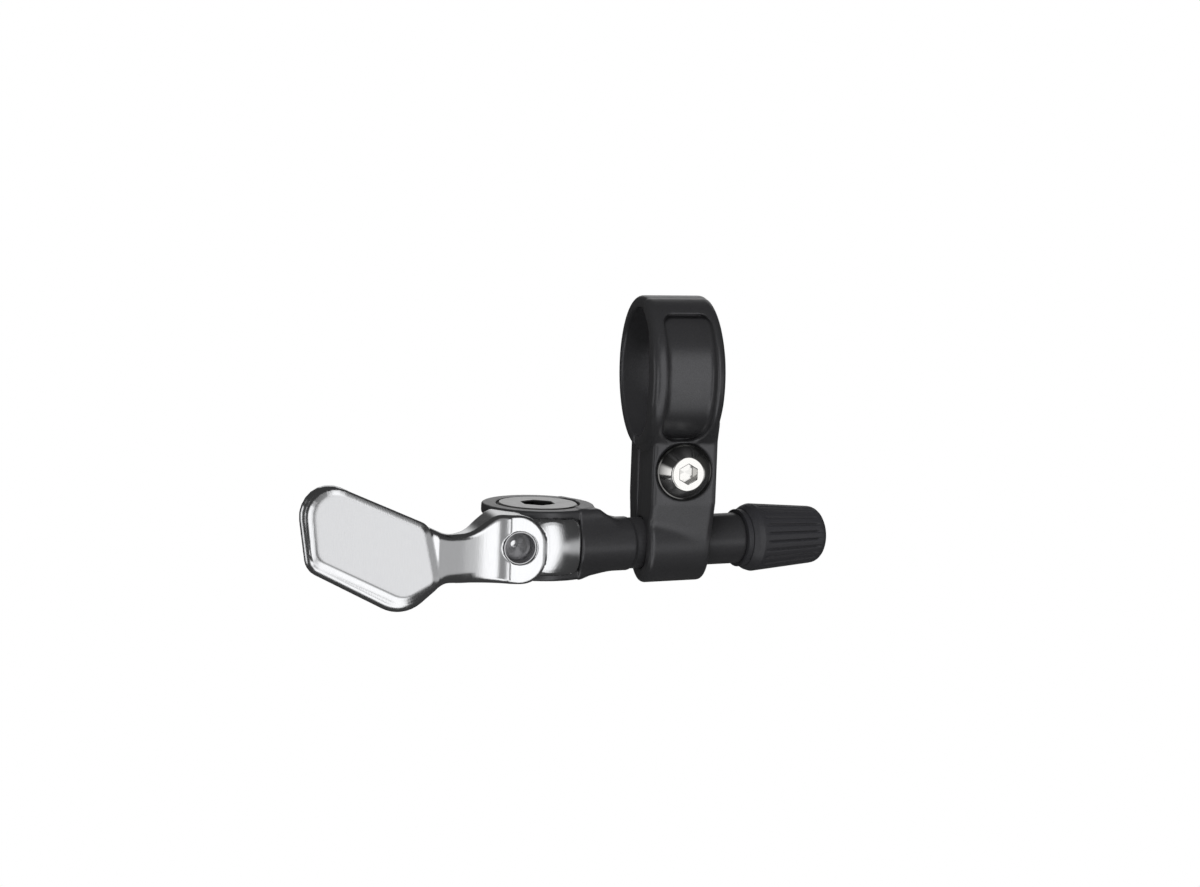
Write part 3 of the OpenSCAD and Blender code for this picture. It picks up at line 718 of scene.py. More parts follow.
FINISHES = {finish.slot: finish for finish in (
    Finish("black_anodised", (0.07, 0.07, 0.074), 0.55, 0.30, spread=0.05, tint=0.3, bump=0.15),
    Finish("polished_aluminium", (0.80, 0.805, 0.82), 1.0, 0.20, tint=0.04, bump=0.08, streak=8.0,
           satin=0.36),
    Finish("bright_steel", (0.78, 0.77, 0.75), 1.0, 0.12, spread=0.03, tint=0.02, bump=0.03),
    Finish("satin_aluminium", (0.62, 0.62, 0.62), 1.0, 0.34, spread=0.06),
    Finish("steel", (0.52, 0.52, 0.53), 1.0, 0.3),
    Finish("bush_bronze", (0.42, 0.32, 0.17), 1.0, 0.4),
    Finish("black_plastic", (0.034, 0.034, 0.038), 0.0, 0.45, spread=0.06, tint=0.25, bump=0.2),
    Finish("pale_polymer", (0.75, 0.73, 0.68), 0.0, 0.4),
    Finish("black_rubber", (0.02, 0.02, 0.02), 0.0, 0.65, tint=0.2, bump=0.2),
)}


def settle(piece: Piece, body: Body, finish: Finish, *nodes: str) -> None:
    """Gives a piece its body and finish, and lets it stand for CAD nodes.

    Args:
        piece: the piece.
        body: the body that it moves with.
        finish: its finish.
        nodes: the CAD nodes that it stands for.
    """
    finish.dress(piece)
    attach(piece, body.value)
    if nodes:
        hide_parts(*nodes)
    LOG.info("%s rides on %s and stands for %s", piece.name, body.value, ", ".join(nodes) or "nothing")


def dress_nodes(frame: dict) -> None:
    """Gives every CAD node the finish that its record slot names.
    """
    slots = {part["node"]: part["material_slot"] for part in frame["record"]["subparts"]}
    for name, slot in slots.items():
        node = frame["nodes"][name]
        for piece in node if isinstance(node, (list, tuple)) else [node]:
            FINISHES[slot].dress(piece)


# Sub-assemblies

@dataclass
class Lever:
    """The polished lever: thumb paddle, scooped neck, pad, front wall and hub.

    Its axes are the pivot's: u to the right, v to the rear and w upwards.
    """

    step: float = 0.23
    columns: int = 96
    room: tuple[Point, Point] = ((-47.5, -16.0, -12.0), (6.5, 8.0, 16.0))
    wall_r: float = 11.5
    plate_room_r: float = 10.0
    disc_r: float = 9.7
    wall_end: float = 5.3
    top: float = 6.3
    bottom: float = 5.3
    front: float = 12.2
    paddle_reach: float = 14.9
    paddle_t: float = 3.2
    paddle: tuple[Corner, ...] = ((-45.68, 15.02, 5.1), (-42.96, -2.73, 3.5), (-26.1, -11.1, 6.2))
    paddle_from: Pair = (-19.0, -23.0)
    paddle_face: tuple[Corner, ...] = (
        (-42.64, 12.38, 3.6), (-41.21, -0.54, 2.4), (-26.2, -7.5, 3.4), (-21.2, -4.5, 1),
        (-23.15, 4.28, 1.6))
    past_paddle: float = -60.0
    arm_depth: float = 7.8
    arm_tuck: float = 1.2
    arm_lap: float = 1.4
    bevel_w: float = 1.1
    bevel_h: float = 0.5
    face_edge: float = 0.12
    face_t: float = 0.6
    scoop_r: float = 20.0
    scoop_end_r: float = 6.0
    scoop_at: float = -10.1
    scoop_depth: float = 0.6
    scoop_points: tuple[int, int] = (60, 24)
    scoop_to_back: float = 2.8
    hole_r: float = 2.8
    hole_depth: float = 5.6
    hole_rise: float = 0.7
    hole_along: float = 5.8
    hole_wall: float = 1.0
    pad_end: float = 1.2
    pad_drop: float = 0.3
    pad_corners: Pair = (4.2, 5.0)
    pad_from: Pair = (-14.0, -6.0)
    pad_lap: float = 0.5
    pad_t: Pair = (1.6, 1.8)
    boss_r: float = 6.23
    boss_corner: Pair = (0.5, 0.86)
    bush_r: float = 4.98
    flange_room_r: float = 5.98
    web: Pair = (-3.4, 4.35)
    web_front: float = 3.5
    hub: Pair = (-2.9, 3.85)
    spring_r: float = 7.15
    spring_room: float = 0.75
    spring_top: float = 0.2
    top_edge: float = 0.7
    arm_edge: float = 0.4
    neck_edge: float = 2.2
    rim_edge: float = 1.8
    low_from: Pair = (0.5, -2.5)
    rim_lean: float = 0.35
    rim_from: Pair = (-1.5, -6.5)
    barrel_r: float = 9.0
    wall_middle: float = 0.5
    wall_corner: float = 3.0
    wall_edges: Pair = (0.6, 0.3)
    crease: float = 0.15
    room_edge: float = 0.2
    neck_top: float = 3.15
    neck_bottom: float = 5.5
    neck_above: tuple[Pair, ...] = ((-14.2, 6.0), (-18.84, 7.0))
    neck_below: tuple[Pair, ...] = ((-19.4, 4.0), (-12.0, 20.0))
    shoulder_r: float = 3.6
    leg_at: Pair = (-6.72, -2.45)
    leg_r: float = 0.55
    leg_top: float = 1.35
    cable_way_r: float = 1.1
    seat_start: float = 0.25
    seat_clear: Pair = (0.02, 0.1)
    seat_bore_r: float = 0.6
    bowl_at: Pair = (0.9, 2.3)
    bowl_r: Pair = (0.2, 1.8)
    bowl_wall: Pair = (0.35, 0.15)
    satin_reach: Pair = (0.08, 0.03)
    # Painted shade: the line_ fields set a thin dark line just inside the paddle's bevel, and shade_levels
    # also darkens its satin face slightly.
    line_w: float = 0.208
    line_level: float = 1.3
    line_from: Pair = (-10.0, -16.0)
    line_front: float = -14.0
    shade_levels: Pair = (0.6, 0.06)

    def outline(self, end: float, bottom: float, low_r: float, high_r: float) -> Array:
        """The front view, round the paddle and back to an end on the right.

        Args:
            end: where the right end lies.
            bottom: how far down it reaches.
            low_r: rounding of its lower corner.
            high_r: rounding of its upper corner.

        Returns:
            The outline's points.
        """
        above = [(u, self.neck_top, radius) for u, radius in self.neck_above]
        below = [(u, -self.neck_bottom, radius) for u, radius in self.neck_below]
        right = [(end, -bottom, low_r), (end, self.top, high_r)]
        shoulder = (-self.disc_r, self.top, self.shoulder_r)
        return rounded([*right, shoulder, *above, *self.paddle, *below])

    def face(self) -> Array:
        """The outline of the paddle's flat face."""
        return rounded(self.paddle_face)

    def scoop(self, radius: float, angles: Array) -> Array:
        """Part of the scoop's floor, seen from above.

        Args:
            radius: the floor's radius there.
            angles: angles from the deepest place, in radians.

        Returns:
            The points, one row each.
        """
        ahead = self.scoop_depth - self.front - radius * (1 - np.cos(angles))
        return np.stack((self.scoop_at + radius * np.sin(angles), ahead), axis=1)

    def plan(self) -> Array:
        """The arm seen from above, with the scoop in front and the swelling back into the hub.

        Returns:
            The outline's points.
        """
        rise = self.paddle_reach - self.bevel_h - self.front + self.scoop_depth
        left = math.acos(1 - rise / self.scoop_r)
        right = math.acos(1 - self.scoop_depth / self.scoop_end_r)
        many, few = self.scoop_points
        paddle_back = self.paddle_t - self.paddle_reach
        lap = self.scoop_at - self.scoop_r * math.sin(left) + self.arm_lap
        arm_back = self.arm_depth - self.front
        back = rounded([(-self.boss_r * self.boss_corner[0], self.boss_r * self.boss_corner[1], 0),
                        (self.arm_tuck - self.disc_r, arm_back + self.arm_tuck, 2),
                        (self.scoop_at - self.scoop_to_back, arm_back, 4), (lap, paddle_back, 5),
                        (self.past_paddle, paddle_back, 0)], closed=False)
        beside_hole = self.hole_wall - self.hole_along
        inner = [(self.pad_lap, -self.front), (self.pad_lap, self.pad_t[0] - self.front),
                 (beside_hole, self.pad_t[1] - self.front), (beside_hole, -self.web_front), (0, 0)]
        long = self.scoop(self.scoop_r, np.linspace(-left, 0, many))
        short = self.scoop(self.scoop_end_r, np.linspace(right / few, right, few))
        return np.vstack(([(self.past_paddle, self.bevel_h - self.paddle_reach)], long, short, inner, back))

    def field(self, u: Array, v: Array, w: Array) -> Array:
        """The lever's distance field.

        The arm is where the front view and the plan both hold, with soft edges that widen
        below the neck and the paddle. The front wall is the front view cut to a disc. The
        paddle's raised face has a bevel that rises by bevel_h over bevel_w. Rooms for the
        fork, bushes, spring and cable are cut away.

        Args:
            u: the grid's first coordinates.
            v: the second ones.
            w: the third ones.

        Returns:
            The field on the grid.
        """
        radial = np.hypot(u, v)
        end_view = self.outline(-self.pad_end, self.bottom + self.pad_drop, *self.pad_corners)
        on_paddle = ramp(u, *self.paddle_from)
        on_neck = (1 - on_paddle) * (1 - ramp(u, *self.pad_from))
        low = ramp(w, *self.low_from)
        under_rim = ramp(w + self.rim_lean * u, *self.rim_from)
        edge = (self.top_edge + self.arm_edge * on_neck
                + (self.neck_edge - self.top_edge - self.arm_edge) * low * on_neck
                + (self.rim_edge - self.top_edge) * under_rim * on_paddle)
        arm = both(outline_distance(u, w, end_view), outline_distance(u, v, self.plan()), edge)
        bulge = (w - self.wall_middle) ** 2 / (2 * self.barrel_r)
        rim_r, cut_r = self.wall_edges
        wall = both(slab(w, -self.bottom, self.top), radial - self.wall_r + bulge, rim_r)
        wall_view = self.outline(self.wall_end, self.bottom, self.wall_corner, self.wall_corner)
        wall = both(both(wall, outline_distance(u, w, wall_view), cut_r), v + self.boss_r / 2)
        hub = both(radial - self.boss_r, slab(w, *self.hub))
        form = joined(joined(arm, wall, self.crease), hub)
        rim = outline_distance(u, w, self.face())
        raised = v + self.paddle_reach
        slope = (rim * self.bevel_h - self.bevel_w * raised) / math.hypot(self.bevel_h, self.bevel_w)
        face = both(both(slope, -raised, self.face_edge), raised - self.bevel_h - self.face_t)
        form = joined(form, both(face, rim - self.bevel_w), self.crease)
        hole = np.hypot(u + self.hole_along, w - self.hole_rise) - self.hole_r
        leg = np.hypot(u - self.leg_at[0], v - self.leg_at[1]) - self.leg_r
        turn = math.radians(LAYOUT.skew)
        across = v * math.cos(turn) - u * math.sin(turn) + LAYOUT.pivot_offset
        ahead = v * math.sin(turn) + u * math.cos(turn) + self.hole_along
        for cut, rounding in (
                (both(radial - self.plate_room_r, -slab(w, *self.web)), self.room_edge),
                (radial - self.bush_r, 0),
                (both(radial - self.flange_room_r, -slab(w, *self.hub)), 0),
                (both(np.abs(radial - self.spring_r) - self.spring_room, w - self.spring_top), 0),
                (both(hole, v + self.front - self.hole_depth), self.crease),
                (both(leg, w - self.leg_top), 0),
                (both(np.hypot(across, w), -ahead) - self.cable_way_r, 0)):
            form = without(form, cut, rounding)
        return form

    def build(self) -> list[Piece]:
        """Makes the lever and the cable's seat and dresses them.

        Returns:
            The new pieces.
        """
        lattice = Lattice(*self.room, self.step)
        lever = dress_field("lever_forged", lattice, self.field(*lattice.axes()), LAYOUT.pivot())
        u, v, w = (vertex_places(lever) - LAYOUT.pivot()).T
        face = ramp(np.abs(v + self.paddle_reach), *self.satin_reach)
        paint(lever, "satin", face)
        # Painted shade: a thin dark line along the inside of the paddle's bevel stands in for the shade in
        # that crease. It is stronger towards the lower left.
        bevel_shade = self.line_level * ramp(np.abs(outline_distance(u, w, self.face())), self.line_w, 0)
        bevel_shade = bevel_shade * (v < self.line_front) * ramp(w + self.rim_lean * u, *self.line_from)
        # Painted shade: the satin face is also darkened a little, standing in for the dimmer reflection of
        # its satin finish.
        on_line, on_face = self.shade_levels
        paint(lever, "shade", np.maximum(on_line * np.clip(bevel_shade, 0, 1), on_face * face))
        settle(lever, Body.LEVER, FINISHES["polished_aluminium"], "lever")
        seat = self.build_seat()
        settle(seat, Body.LEVER, FINISHES["steel"], "cable_seat")
        return [lever, seat]

    def build_seat(self) -> Piece:
        """Turns the smooth bowl in the hole that the cable's head rests in.

        Returns:
            The bowl.
        """
        outer, depth = self.hole_r - self.seat_clear[0], self.hole_depth - self.seat_clear[1]
        profile = rounded([
            (self.seat_start, outer, 0), (depth, outer, 0), (depth, self.seat_bore_r, 0),
            (depth - self.bowl_at[0], self.seat_bore_r, self.bowl_r[0]),
            (depth - self.bowl_at[1], outer - self.bowl_wall[0], self.bowl_r[1]),
            (self.seat_start, outer - self.bowl_wall[1], 0)], closed=False)
        place = LAYOUT.pivot() + np.array((-self.hole_along, -self.front, self.hole_rise))
        axis = Axis(tuple(place), (0, 1, 0), (1, 0, 0))
        return turned("cable_seat_turned", axis, *profile_grid(profile, self.columns))


@dataclass
class Clamp:
    """The black band round the bar and the tube, with its bolt."""

    step: float = 0.29
    columns: int = 96
    room: tuple[Point, Point] = ((-8.2, -15.6, -38.0), (7.6, 14.2, 14.4))
    bar_r: float = 11.1
    ring_r: float = 13.2
    ring_w: float = 11.5
    ring_shift: float = -0.55
    pad_rise: float = 0.9
    pad_w: float = 12.4
    pad_shift: float = -0.95
    pad_lead: float = 1.559
    pad_flank: float = 0.6
    pad_taper: float = 4.0
    pad_back: float = 3.2
    pad_inset: float = 0.1
    pad_edge: float = 1.1
    pocket_w: float = 8.4
    pocket_lean: float = 0.5
    pocket_depth: float = 1.1
    pocket_end: float = 10.9
    pocket_round: float = 3.4
    pocket_back: float = 1.0
    pocket_edges: Pair = (0.7, 0.5)
    strap_w: float = 11.6
    strap_shift: float = 0.5
    strap_front: float = 8.0
    strap_rear: float = 6.9
    strap_bends: Pair = (3.0, 2.0)
    knee_gap: float = 0.8
    foot: float = 0.78
    flare: float = 1.8
    flare_z: float = -5.0
    fillets: tuple[float, float, float] = (1.0, 0.8, 0.6)
    slot_w: float = 1.0
    slot_offset: float = 1.2
    slot_lap: float = 1.0
    eye_r: float = 6.9
    eye_bore_r: float = 4.45
    edge: float = 0.9
    bore_edge: float = 0.3
    seat_edge: float = 0.25
    slip: float = 0.15
    bolt_x: float = 0.3
    bolt_z: float = -16.125
    head_r: float = 4.8
    head_rim: tuple[float, float, float] = (0.6, 0.75, 0.3)
    head_top_r: float = 2.9
    head_h: float = 2.8
    seat_depth: float = 0.4
    hexagon_w: float = 3.0
    socket_floor: float = 0.6
    shank_r: float = 2.5
    shank_short: float = 0.3
    nut_r: float = 3.6
    nut_flange_r: float = 4.5
    nut_flange_t: float = 0.8
    nut_len: float = 4.6
    # Painted shade on the bolt head's rim: how far in from the edge it reaches, and how dark.
    rim_shade: Pair = (0.35, 0.8)

    def strap_outline(self) -> Array:
        """The straps seen along the bar, as y and z.

        Returns:
            The outline's points.
        """
        knee = self.bolt_z - self.head_r - self.knee_gap
        foot = self.eye_r * self.foot
        high, low = self.strap_bends

        def side(way: int, depth: float) -> list[Corner]:
            """One strap's face, from the tube up to the ring."""
            return [(way * foot, -LAYOUT.drop, 0), (way * depth, knee, low),
                    (way * depth, -self.bar_r, high), (way * (depth + self.flare), self.flare_z, 0)]

        return rounded(side(-1, self.strap_front)[::-1] + side(1, self.strap_rear))

    def pocket_outline(self) -> Array:
        """The pad's pocket seen from the front, as x and z.

        Returns:
            The outline's points.
        """
        low = self.pad_shift + self.pocket_lean - self.pocket_w / 2
        high, end = low + self.pocket_w, self.pocket_end
        below, above = self.pocket_round, self.pocket_round / 2
        return rounded([(low, -end, below), (high, -end, below), (high, end, above), (low, end, above)])

    def field(self, x: Array, y: Array, z: Array) -> Array:
        """The band's distance field: ring, pad, straps and eye, less the bores and the pocket.

        The pad is a cylinder of its own, a little ahead of the ring, whose width swells from
        its ends to the middle and from its face to the ring.

        Args:
            x: the grid's first coordinates.
            y: the second ones.
            z: the third ones.

        Returns:
            The field on the grid.
        """
        ring_low, ring_high = self.ring_shift - self.ring_w / 2, self.ring_shift + self.ring_w / 2
        bar = np.hypot(y, z)
        ring = both(bar - self.ring_r, slab(x, ring_low, ring_high), self.edge)
        pad_r = self.ring_r + self.pad_rise - self.pad_lead
        about = np.hypot(y + self.pad_lead, z)
        half = self.pad_w / 2 + self.pad_flank * ramp(about, pad_r, pad_r - self.pad_taper)
        to_end = ramp(np.abs(z), self.pad_taper, self.ring_r)
        low = (self.pad_shift - half) * (1 - to_end) + (ring_low + self.pad_inset) * to_end
        high = (self.pad_shift + half) * (1 - to_end) + (ring_high - self.pad_inset) * to_end
        pad = both(both(about - pad_r, slab(x, low, high), self.pad_edge), y + self.pad_back)
        turn = math.radians(LAYOUT.skew)
        tube = np.hypot(y * math.cos(turn) - x * math.sin(turn), z + LAYOUT.drop)
        pad_fillet, strap_fillet, eye_fillet = self.fillets
        body = joined(outline_distance(y, z, self.strap_outline()), tube - self.eye_r, eye_fillet)
        body = both(body, np.abs(x - self.strap_shift) - self.strap_w / 2, self.edge)
        form = joined(joined(ring, pad, pad_fillet), body, strap_fillet)
        floor_edge, pocket_edge = self.pocket_edges
        pocket = outline_distance(x, z, self.pocket_outline())
        pocket = both(pocket, pad_r - self.pocket_depth - about, floor_edge)
        slot = np.abs(y - self.slot_offset) - self.slot_w / 2
        slot = both(slot, slab(z, -LAYOUT.drop, self.slot_lap - self.bar_r))
        bolt = np.hypot(x - self.bolt_x, z - self.bolt_z)
        seat = both(bolt - self.head_r - self.slip, y + self.strap_front - self.seat_depth)
        flange = both(bolt - self.nut_flange_r, self.strap_rear - self.nut_flange_t - y)
        for cut, rounding in (
                (both(pocket, y + self.pocket_back), pocket_edge),
                (bar - self.bar_r, self.bore_edge),
                (tube - self.eye_bore_r, self.bore_edge),
                (slot, self.seat_edge),
                (seat, self.seat_edge),
                (bolt - self.shank_r - self.slip, 0),
                (joined(both(bolt - self.nut_r, self.strap_rear - self.nut_len - y), flange), 0)):
            form = without(form, cut, rounding)
        return form

    def build(self) -> list[Piece]:
        """Makes the band and its bolt and dresses them.

        Returns:
            The new pieces.
        """
        lattice = Lattice(*self.room, self.step)
        band = dress_field("clamp_band_forged", lattice, self.field(*lattice.axes()), np.zeros(3))
        settle(band, Body.CLAMP, FINISHES["black_anodised"], "clamp_band")
        bolt = self.build_bolt()
        settle(bolt, Body.CLAMP, FINISHES["bright_steel"], "clamp_bolt")
        return [band, bolt]

    def build_bolt(self) -> Piece:
        """Makes the clamp bolt: a tapered head with a hexagon socket, and its shank.

        Returns:
            The bolt, with painted shade on the head's rim.
        """
        top = self.head_h + self.seat_depth
        shank = self.strap_front - self.seat_depth + self.strap_rear - self.shank_short
        rim_low, rim_high, rim_step = self.head_rim
        corners = [
            (-shank, NEAR_AXIS, 0), (-shank, self.shank_r, 0.3), (0, self.shank_r, 0),
            (0, self.head_r, 0.15), (rim_low, self.head_r, 0.2), (rim_high, self.head_r - rim_step, 0.1),
            (top, self.head_top_r, 0.5)]
        socket = HexSocket(self.hexagon_w, chamfer_w=0.12, chamfer_h=0.15, floor=self.socket_floor,
                           cone=0.15)
        start = (self.bolt_x, self.seat_depth - self.strap_front, self.bolt_z)
        axis = Axis(start, (0, -1, 0), (1, 0, 0))
        bolt, radius, _ = socket_bolt("clamp_bolt_turned", axis, corners, socket, self.columns)
        # Painted shade: the head's outer rim, down in its seat, is darkened.
        inset, level = self.rim_shade
        paint(bolt, "shade", ((radius > self.head_r - inset) * level).ravel())
        return bolt


@dataclass
class Perch:
    """The black tube with its fork, and the pivot bolt let into the fork.

    Its axes are the tube's: a along it to the knob, b across it to the rear and w upwards.
    """

    step: float = 0.24
    columns: int = 120
    room: tuple[Point, Point] = ((-32.6, -5.4, -6.2), (14.2, 17.0, 7.6))
    tube_r: float = 4.4
    root_r: float = 4.65
    root_flush: float = 0.97
    root_share: float = 0.6
    root_at: tuple[float, ...] = (3.0, 4.0, 6.5, 7.6, 10.6, 12.6)
    shoulder_at: float = 8.2
    plate_r: float = 9.7
    plates: tuple[float, float, float, float] = (-5.5, -3.7, 4.65, 6.5)
    head_r: float = 7.0
    head_t: float = 1.5
    head_proud: float = 0.1
    head_bevel: float = 0.35
    shank_r: float = 3.5
    hexagon_w: float = 5.0
    socket_depth: float = 4.0
    # Painted shade in the head's socket: how far below the top, how far in from the edge, and how dark.
    sunk_shade: tuple[float, float, float] = (0.2, 0.1, 0.9)
    web_face: float = 5.5
    swing_r: float = 11.8
    spring_room_r: float = 7.95
    cable_way_r: float = 1.1
    screw_room_r: float = 2.3
    screw_from: float = -1.0
    well_floor: float = 8.8
    well_r: float = 3.55
    key_half: Pair = (0.68, 4.08)
    key_deeper: float = 0.8
    leg_at: Pair = (6.72, 2.45)
    leg_r: float = 0.55
    leg_foot: float = -5.0
    stop_at: Pair = (5.5, 2.1)
    stop_r: float = 0.8
    stop_span: Pair = (-8.2, -6.4)
    slip: float = 0.15
    press: float = 0.02
    hole_lap: float = 1.0
    edges: tuple[float, float, float] = (0.8, 0.5, 0.4)
    fillets: Pair = (1.2, 0.6)
    room_edge: float = 0.3
    tube_edge: float = 0.25
    well_edge: float = 0.2

    def root_outlines(self) -> tuple[Array, Array]:
        """The body that joins the fork to the tube, from the side and from above.

        Returns:
            The side view as a and w, and the plan as a and b.
        """
        bottom, _, _, top = self.plates
        back, root, offset = -LAYOUT.pivot_along, self.root_r, LAYOUT.pivot_offset
        flush, inside = root * self.root_flush, root * self.root_share
        start, rise, widest, neck, waist, end = (back + at for at in self.root_at)
        side = rounded([
            (back, bottom, 0), (rise, bottom, 2), (neck, -flush, 2), (end, -inside, 0),
            (end, inside, 0), (waist, flush, 2), (neck, top, 1.2), (back, top, 0)])
        plan = rounded([
            (start, -inside, 0), (waist, -root * 0.5, 1), (end, 0, 0), (end - 1, root * 0.8, 1),
            (waist - 0.4, offset + 1.5, 3), (widest, offset + self.plate_r * 0.74, 0),
            (start, offset, 0)])
        return side, plan

    def field(self, a: Array, b: Array, w: Array) -> Array:
        """The perch's distance field.

        The root and the fork's drum are joined first, then the lever's room is cut out of
        them, and the plates and the tube are joined to what is left, so that they stay whole.

        Args:
            a: the grid's first coordinates.
            b: the second ones.
            w: the third ones.

        Returns:
            The field on the grid.
        """
        bottom, lower_in, upper_in, top = self.plates
        back = -LAYOUT.pivot_along
        turn = math.radians(LAYOUT.skew)
        ahead, aside = a - back, b - LAYOUT.pivot_offset
        u = ahead * math.cos(turn) - aside * math.sin(turn)
        v = ahead * math.sin(turn) + aside * math.cos(turn)
        radial, tube = np.hypot(u, v), np.hypot(b, w)
        side, plan = self.root_outlines()
        root_edge, drum_edge, plate_edge = self.edges
        root = both(outline_distance(a, w, side), outline_distance(a, b, plan), root_edge)
        thick = both(tube - self.root_r, slab(a, back, -self.shoulder_at), self.well_edge)
        drum = both(radial - self.plate_r, slab(w, bottom, top), drum_edge)
        form = joined(joined(root, thick, self.fillets[0]), drum, self.fillets[1])
        swing = both(radial - self.swing_r, u - self.web_face)
        spring = both(radial - self.spring_room_r, slab(w, lower_in, upper_in))
        room = joined(joined(swing, spring), both(u - self.web_face, v + LAYOUT.pivot_offset))
        form = without(form, room, self.room_edge)
        for low, high in ((upper_in, top), (bottom, lower_in)):
            form = joined(form, both(radial - self.plate_r, slab(w, low, high), plate_edge))
        slim = both(tube - self.tube_r, slab(a, -self.shoulder_at, LAYOUT.tube_reach), self.tube_edge)
        form = joined(form, slim, self.tube_edge)
        leg = np.hypot(u - self.leg_at[0], v - self.leg_at[1]) - self.leg_r
        stop = np.hypot(u - self.stop_at[0], w - self.stop_at[1]) - self.stop_r
        keys = both(np.abs(b) - self.key_half[0], np.abs(w) - self.key_half[1])
        for cut, rounding in (
                (both(radial - self.head_r - self.slip, top - self.head_t - w), self.slip),
                (both(radial - self.shank_r - self.slip, upper_in - self.hole_lap - w), 0),
                (both(radial - self.shank_r - self.press, w - lower_in - self.hole_lap), 0),
                (both(tube - self.cable_way_r, back - a), 0),
                (both(tube - self.screw_room_r, self.screw_from - a), 0),
                (both(tube - self.well_r, self.well_floor - a), self.well_edge),
                (both(leg, self.leg_foot - w), 0),
                (both(keys, self.well_floor - self.key_deeper - a), 0),
                (both(stop, slab(v, *self.stop_span)), 0)):
            form = without(form, cut, rounding)
        return form

    def build(self) -> list[Piece]:
        """Makes the perch and its pivot bolt and dresses them.

        Returns:
            The new pieces.
        """
        lattice = Lattice(*self.room, self.step)
        origin = np.array((0.0, 0.0, -LAYOUT.drop))
        body = dress_field("perch_machined", lattice, self.field(*lattice.axes()), origin, LAYOUT.skew)
        settle(body, Body.PERCH, FINISHES["black_anodised"], "perch_body")
        bolt = self.build_bolt()
        settle(bolt, Body.PERCH, FINISHES["satin_aluminium"], "pivot_bolt")
        return [body, bolt]

    def build_bolt(self) -> Piece:
        """Makes the pivot bolt: a wide flat head with a hexagon socket, and its shank.

        Returns:
            The bolt, with painted shade on its sunk parts.
        """
        bottom, _, _, plate_top = self.plates
        top, under = plate_top + self.head_proud, plate_top - self.head_t
        corners = [
            (bottom, NEAR_AXIS, 0), (bottom, self.shank_r, 0.3), (under, self.shank_r, 0),
            (under, self.head_r, 0.2), (top - self.head_bevel, self.head_r, 0.05),
            (top, self.head_r - self.head_bevel, 0.05)]
        floor = top - self.socket_depth
        socket = HexSocket(self.hexagon_w, chamfer_w=0.25, chamfer_h=0.25, floor=floor, cone=0.2)
        axis = Axis(tuple(LAYOUT.pivot()), (0, 0, 1), (1, 0, 0))
        bolt, radius, distance = socket_bolt("pivot_bolt_turned", axis, corners, socket, self.columns)
        below, inset, level = self.sunk_shade
        # Painted shade: the socket below the head's top face is darkened as the shade in that recess.
        sunk = (distance < top - below) & (radius < self.head_r - inset)
        paint(bolt, "shade", (sunk * level).ravel())
        return bolt


@dataclass
class Adjuster:
    """The ribbed knob at the tube's far end."""

    knob_at: float = 14.6
    length: float = 15.2
    wide_r: float = 5.9
    narrow_r: float = 4.85
    bore_r: float = 3.4
    chamfer: float = 1.5
    crown: float = 2.0
    row_step: float = 0.35
    grooves: int = 24
    groove_columns: int = 16
    groove_depth: float = 0.3
    groove_share: float = 0.2
    groove_power: float = 1.5
    groove_ends: Pair = (2.2, 1.6)
    groove_fade: float = 0.8

    def build(self) -> list[Piece]:
        """Makes the knob: a tapered profile whose radius dips smoothly in each groove.

        The dip is a power of the part of the cosine of grooves times the angle that lies
        above groove_share, and it fades out towards both ends of the knob.

        Returns:
            The new pieces.
        """
        outer = rounded([
            (0, self.bore_r, 0), (0, self.wide_r - 0.8, 0.2),
            (self.chamfer * 0.6, self.wide_r - 0.25, 0.5), (self.chamfer + 0.2, self.wide_r, 0.5),
            (self.length, self.narrow_r, self.crown), (self.length, self.bore_r, 0)],
            steps=6, closed=False)
        columns = self.grooves * self.groove_columns
        radius, distance = profile_grid(finer(outer, self.row_step), columns)
        angle = np.linspace(0, 2 * math.pi, columns, endpoint=False)[None, :]
        notch = ramp(np.cos(self.grooves * angle), self.groove_share, 1) ** self.groove_power
        first, last = self.groove_ends[0], self.length - self.groove_ends[1]
        reach = ramp(distance, first, first + self.groove_fade)
        reach = reach * ramp(distance, last, last - self.groove_fade)
        outside = radius > self.bore_r + NEAR_AXIS
        radius = radius - self.groove_depth * notch * reach * outside
        knob = turned("adjuster_knob_moulded", LAYOUT.tube_axis(self.knob_at), radius, distance)
        settle(knob, Body.KNOB, FINISHES["black_plastic"], "adjuster_knob")
        return [knob]


# Studio

